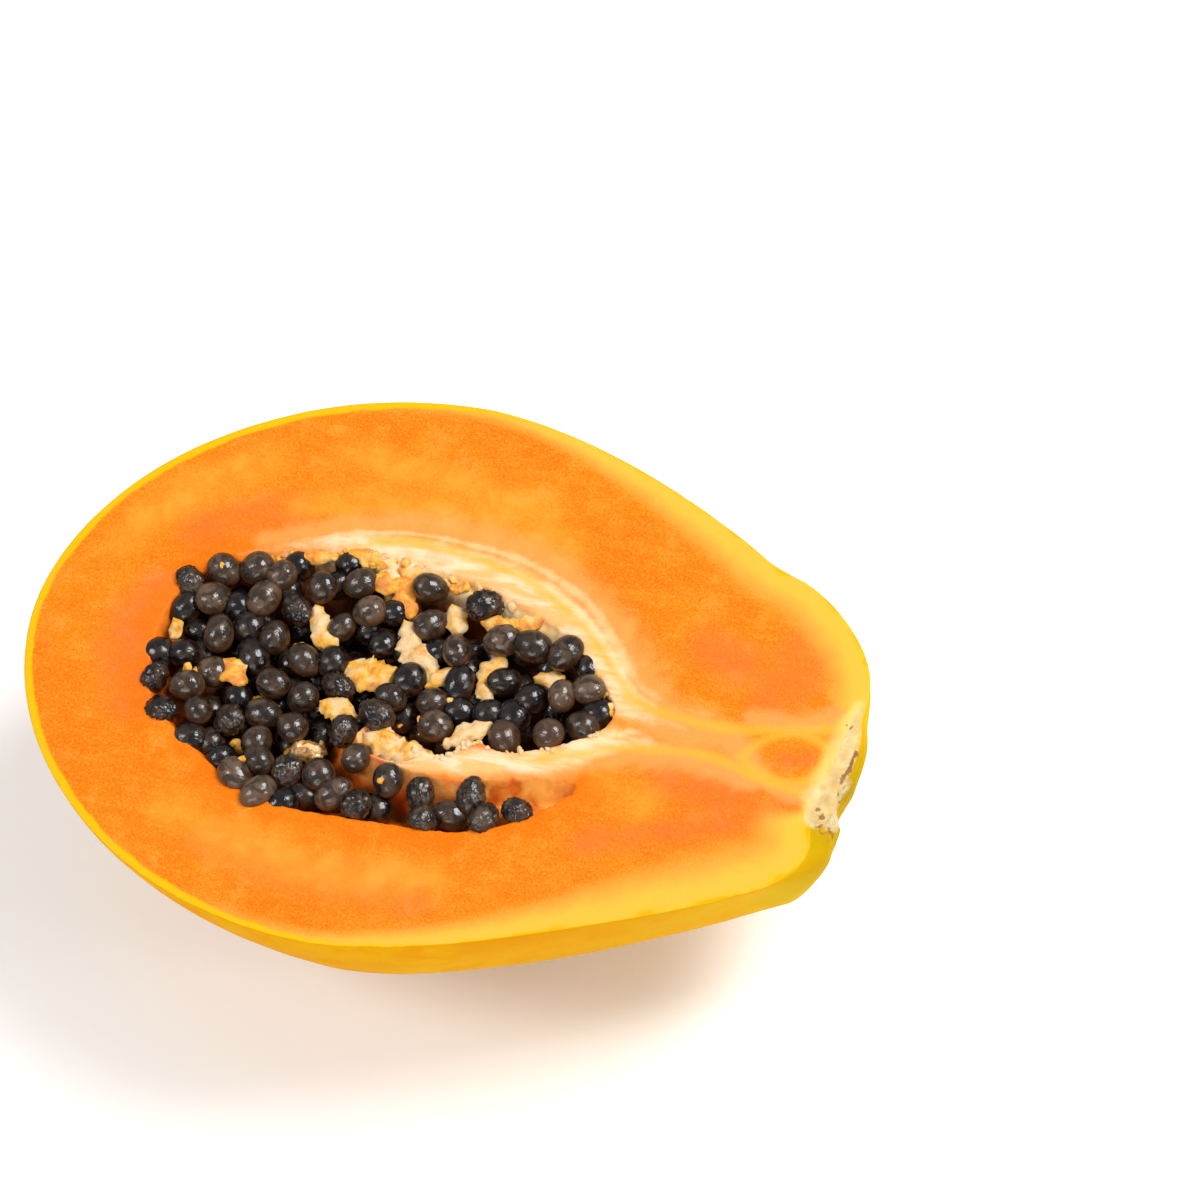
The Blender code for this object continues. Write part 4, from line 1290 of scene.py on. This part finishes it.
def torn_flap(line, seed):
    """Points and faces of one flap: a thin ragged sheet, sagging at its sides and closed all round."""
    middle = rounded_line(line)
    run = run_along(middle[:, :2])
    rows, columns = int(run[-1] / FLAP_STEP), FLAP_COLUMNS
    along = np.linspace(0, run[-1], rows)
    x, y, half, sunk = (np.interp(along, run, column) for column in middle.T)
    ahead = unit(np.column_stack([np.gradient(x), np.gradient(y)]))
    ends = np.sqrt(np.clip(1 - np.linspace(-1, 1, rows) ** 6, 0.03, 1))
    share = np.linspace(-1, 1, columns)
    spots = np.column_stack([x, y, sunk])
    left, right = (
        1.08 + 0.5 * lumps(spots, 1.9 * MM, side) + 0.32 * lumps(spots, 0.9 * MM, side + 1)
        for side in (seed, seed + 7))
    ragged_by = np.clip(np.where(share < 0, left[:, None], right[:, None]), 0.45, 1.7)
    reach = ragged_by * share * (half * ends)[:, None]
    top = np.stack([
        x[:, None] - ahead[:, 1:] * reach, y[:, None] + ahead[:, :1] * reach,
        CUT_HEIGHT - sunk[:, None] - FLAP_SAG * np.broadcast_to(share ** 2, reach.shape),
    ], axis=-1).reshape(-1, 3)
    top[:, 2] += uneven(top, (0.5, 1.9, seed + 3), (0.25, 0.8, seed + 4))
    thickness = FLAP_THICKNESS * (1 - 0.85 * share ** 2) * np.clip(ends, 0.2, 1)[:, None]
    bottom = top - np.column_stack([np.zeros((len(top), 2)), thickness.ravel()])
    index = np.arange(rows * columns).reshape(rows, columns)
    under = index + rows * columns
    quads = [
        (index[:-1, :-1], index[1:, :-1], index[1:, 1:], index[:-1, 1:]),
        (under[:-1, :-1], under[:-1, 1:], under[1:, 1:], under[1:, :-1]),
        (under[:-1, 0], under[1:, 0], index[1:, 0], index[:-1, 0]),
        (index[:-1, -1], index[1:, -1], under[1:, -1], under[:-1, -1]),
        (index[0, :-1], index[0, 1:], under[0, 1:], under[0, :-1]),
        (under[-1, :-1], under[-1, 1:], index[-1, 1:], index[-1, :-1]),
    ]
    faces = np.vstack([np.stack(corners, axis=-1).reshape(-1, 4) for corners in quads])
    return np.vstack([top, bottom]), faces


def lay_flaps():
    """All the torn flaps as one piece."""
    vertices, faces, tones, count = [], [], [], 0
    for number, (tone, line) in enumerate(FLAPS):
        points, quads = torn_flap(line, 30.0 + 11 * number)
        vertices.append(points)
        faces.append(quads + count)
        tones.append(tone + 0.3 * lumps(points, 2.6 * MM, number))
        count += len(points)
    mesh = bpy.data.meshes.new("torn_flaps")
    mesh.from_pydata(np.vstack(vertices).tolist(), [], np.vstack(faces).tolist())
    mesh.shade_smooth()
    mesh.attributes.new("tone", "FLOAT", "POINT").data.foreach_set(
        "value", np.concatenate(tones).astype(np.float32))
    return shown(mesh, "torn_flaps", lining_finish("torn_flap_lining"))


def lay_burst_seed(seeds_at):
    """A burst seed skin lying on the seeds, clear amber with patches of cream."""
    height = max(top_of(seeds_at, *BURST_SEED_AT), CUT_HEIGHT - 3 * MM) + 0.5 * MM
    cloud = point_cloud(
        "burst_seed", [(*BURST_SEED_AT, height)], turn=[(0.25, 0.2, 0.35)], size=[(1, 1, 1)])
    return lumps_on_points(cloud, "burst_seed", amber_finish(), 4, (3.5 * MM, 2.3 * MM, 1.3 * MM),
                           0.5 * MM, 1.7 * MM, 0.5 * MM, 0.25, 2.0)


hollow = Hollow()
fruit = shown(half_fruit_mesh(hollow), "half_papaya", flesh_finish(), skin_finish())
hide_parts("half_fruit")
(seeds, shrivelled), seeds_at = lay_seeds(Heap(hollow))
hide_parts(*SEED_NODES)
torn_lining = lay_crumbs(hollow, seeds_at)
torn_flaps = lay_flaps()
burst_seed = lay_burst_seed(seeds_at)
for slot, pieces in (
    ("papaya_half", (fruit, torn_lining, torn_flaps)),
    ("papaya_seed", (seeds, shrivelled, burst_seed)),
):
    for piece in pieces:
        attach(piece, "root")

# ---------------------------------------------------------------- floor, light and camera

floor_mesh = bpy.data.meshes.new("floor")
floor_mesh.from_pydata([(-3, -3, 0), (3, -3, 0), (3, 3, 0), (-3, 3, 0)], [], [(0, 1, 2, 3)])
shown(floor_mesh, "floor", Finish("pale_paper").settle(PAPER, 0.9))

# Soft lights that face the fruit: name, direction, distance, size in metres, power in watts
for name, towards, distance, size, power in (
    ("window", (0.52, 0.34, 0.78), 1.3, (0.62, 0.55), 17.0),
    ("left_box", (-0.5, -0.3, 0.81), 1.3, (0.25, 0.6), 5.6),
    ("right_strip", (0.9, -0.1, 0.42), 1.2, (0.2, 0.35), 2.2),
    ("front_fill", (0.05, -0.93, 0.36), 1.5, (0.9, 0.5), 5.2),
):
    lamp = bpy.data.lights.new(name, "AREA")
    lamp.shape = "RECTANGLE"
    lamp.size, lamp.size_y = size
    lamp.energy = power
    light = placed(name, lamp)
    direction = Vector(towards).normalized()
    light.location = direction * distance
    light.rotation_euler = direction.to_track_quat("Z", "Y").to_euler()

world = bpy.data.worlds.new("studio")
world.use_nodes = True
sky = world.node_tree.nodes["Background"]
sky.inputs["Color"].default_value = (1, 1, 1, 1)
sky.inputs["Strength"].default_value = 0.45
bpy.context.scene.world = world
bpy.context.scene.view_settings.view_transform = "Standard"

# The camera looks down on the cut face, level with a line turned against the fruit's own
BACK = Vector((0.302, -0.412, 0.860)).normalized()
SIDE = Vector((0.938, 0.292, -0.190))
UP = BACK.cross(SIDE).normalized()
SIDE = UP.cross(BACK)
AIM = Vector((0.1 * MM, -0.7 * MM, CUT_HEIGHT)) + SIDE * 29.2 * MM + UP * 14.0 * MM
CAMERA_DISTANCE = 0.93
lens = bpy.data.cameras.new("camera")
lens.lens = 158.7
lens.sensor_width = 36
lens.clip_start = 0.01
camera = placed("camera", lens)
facing = Matrix((SIDE, UP, BACK)).transposed().to_4x4()
camera.matrix_world = Matrix.Translation(AIM + BACK * CAMERA_DISTANCE) @ facing
bpy.context.scene.camera = camera

bpy.context.view_layer.update()
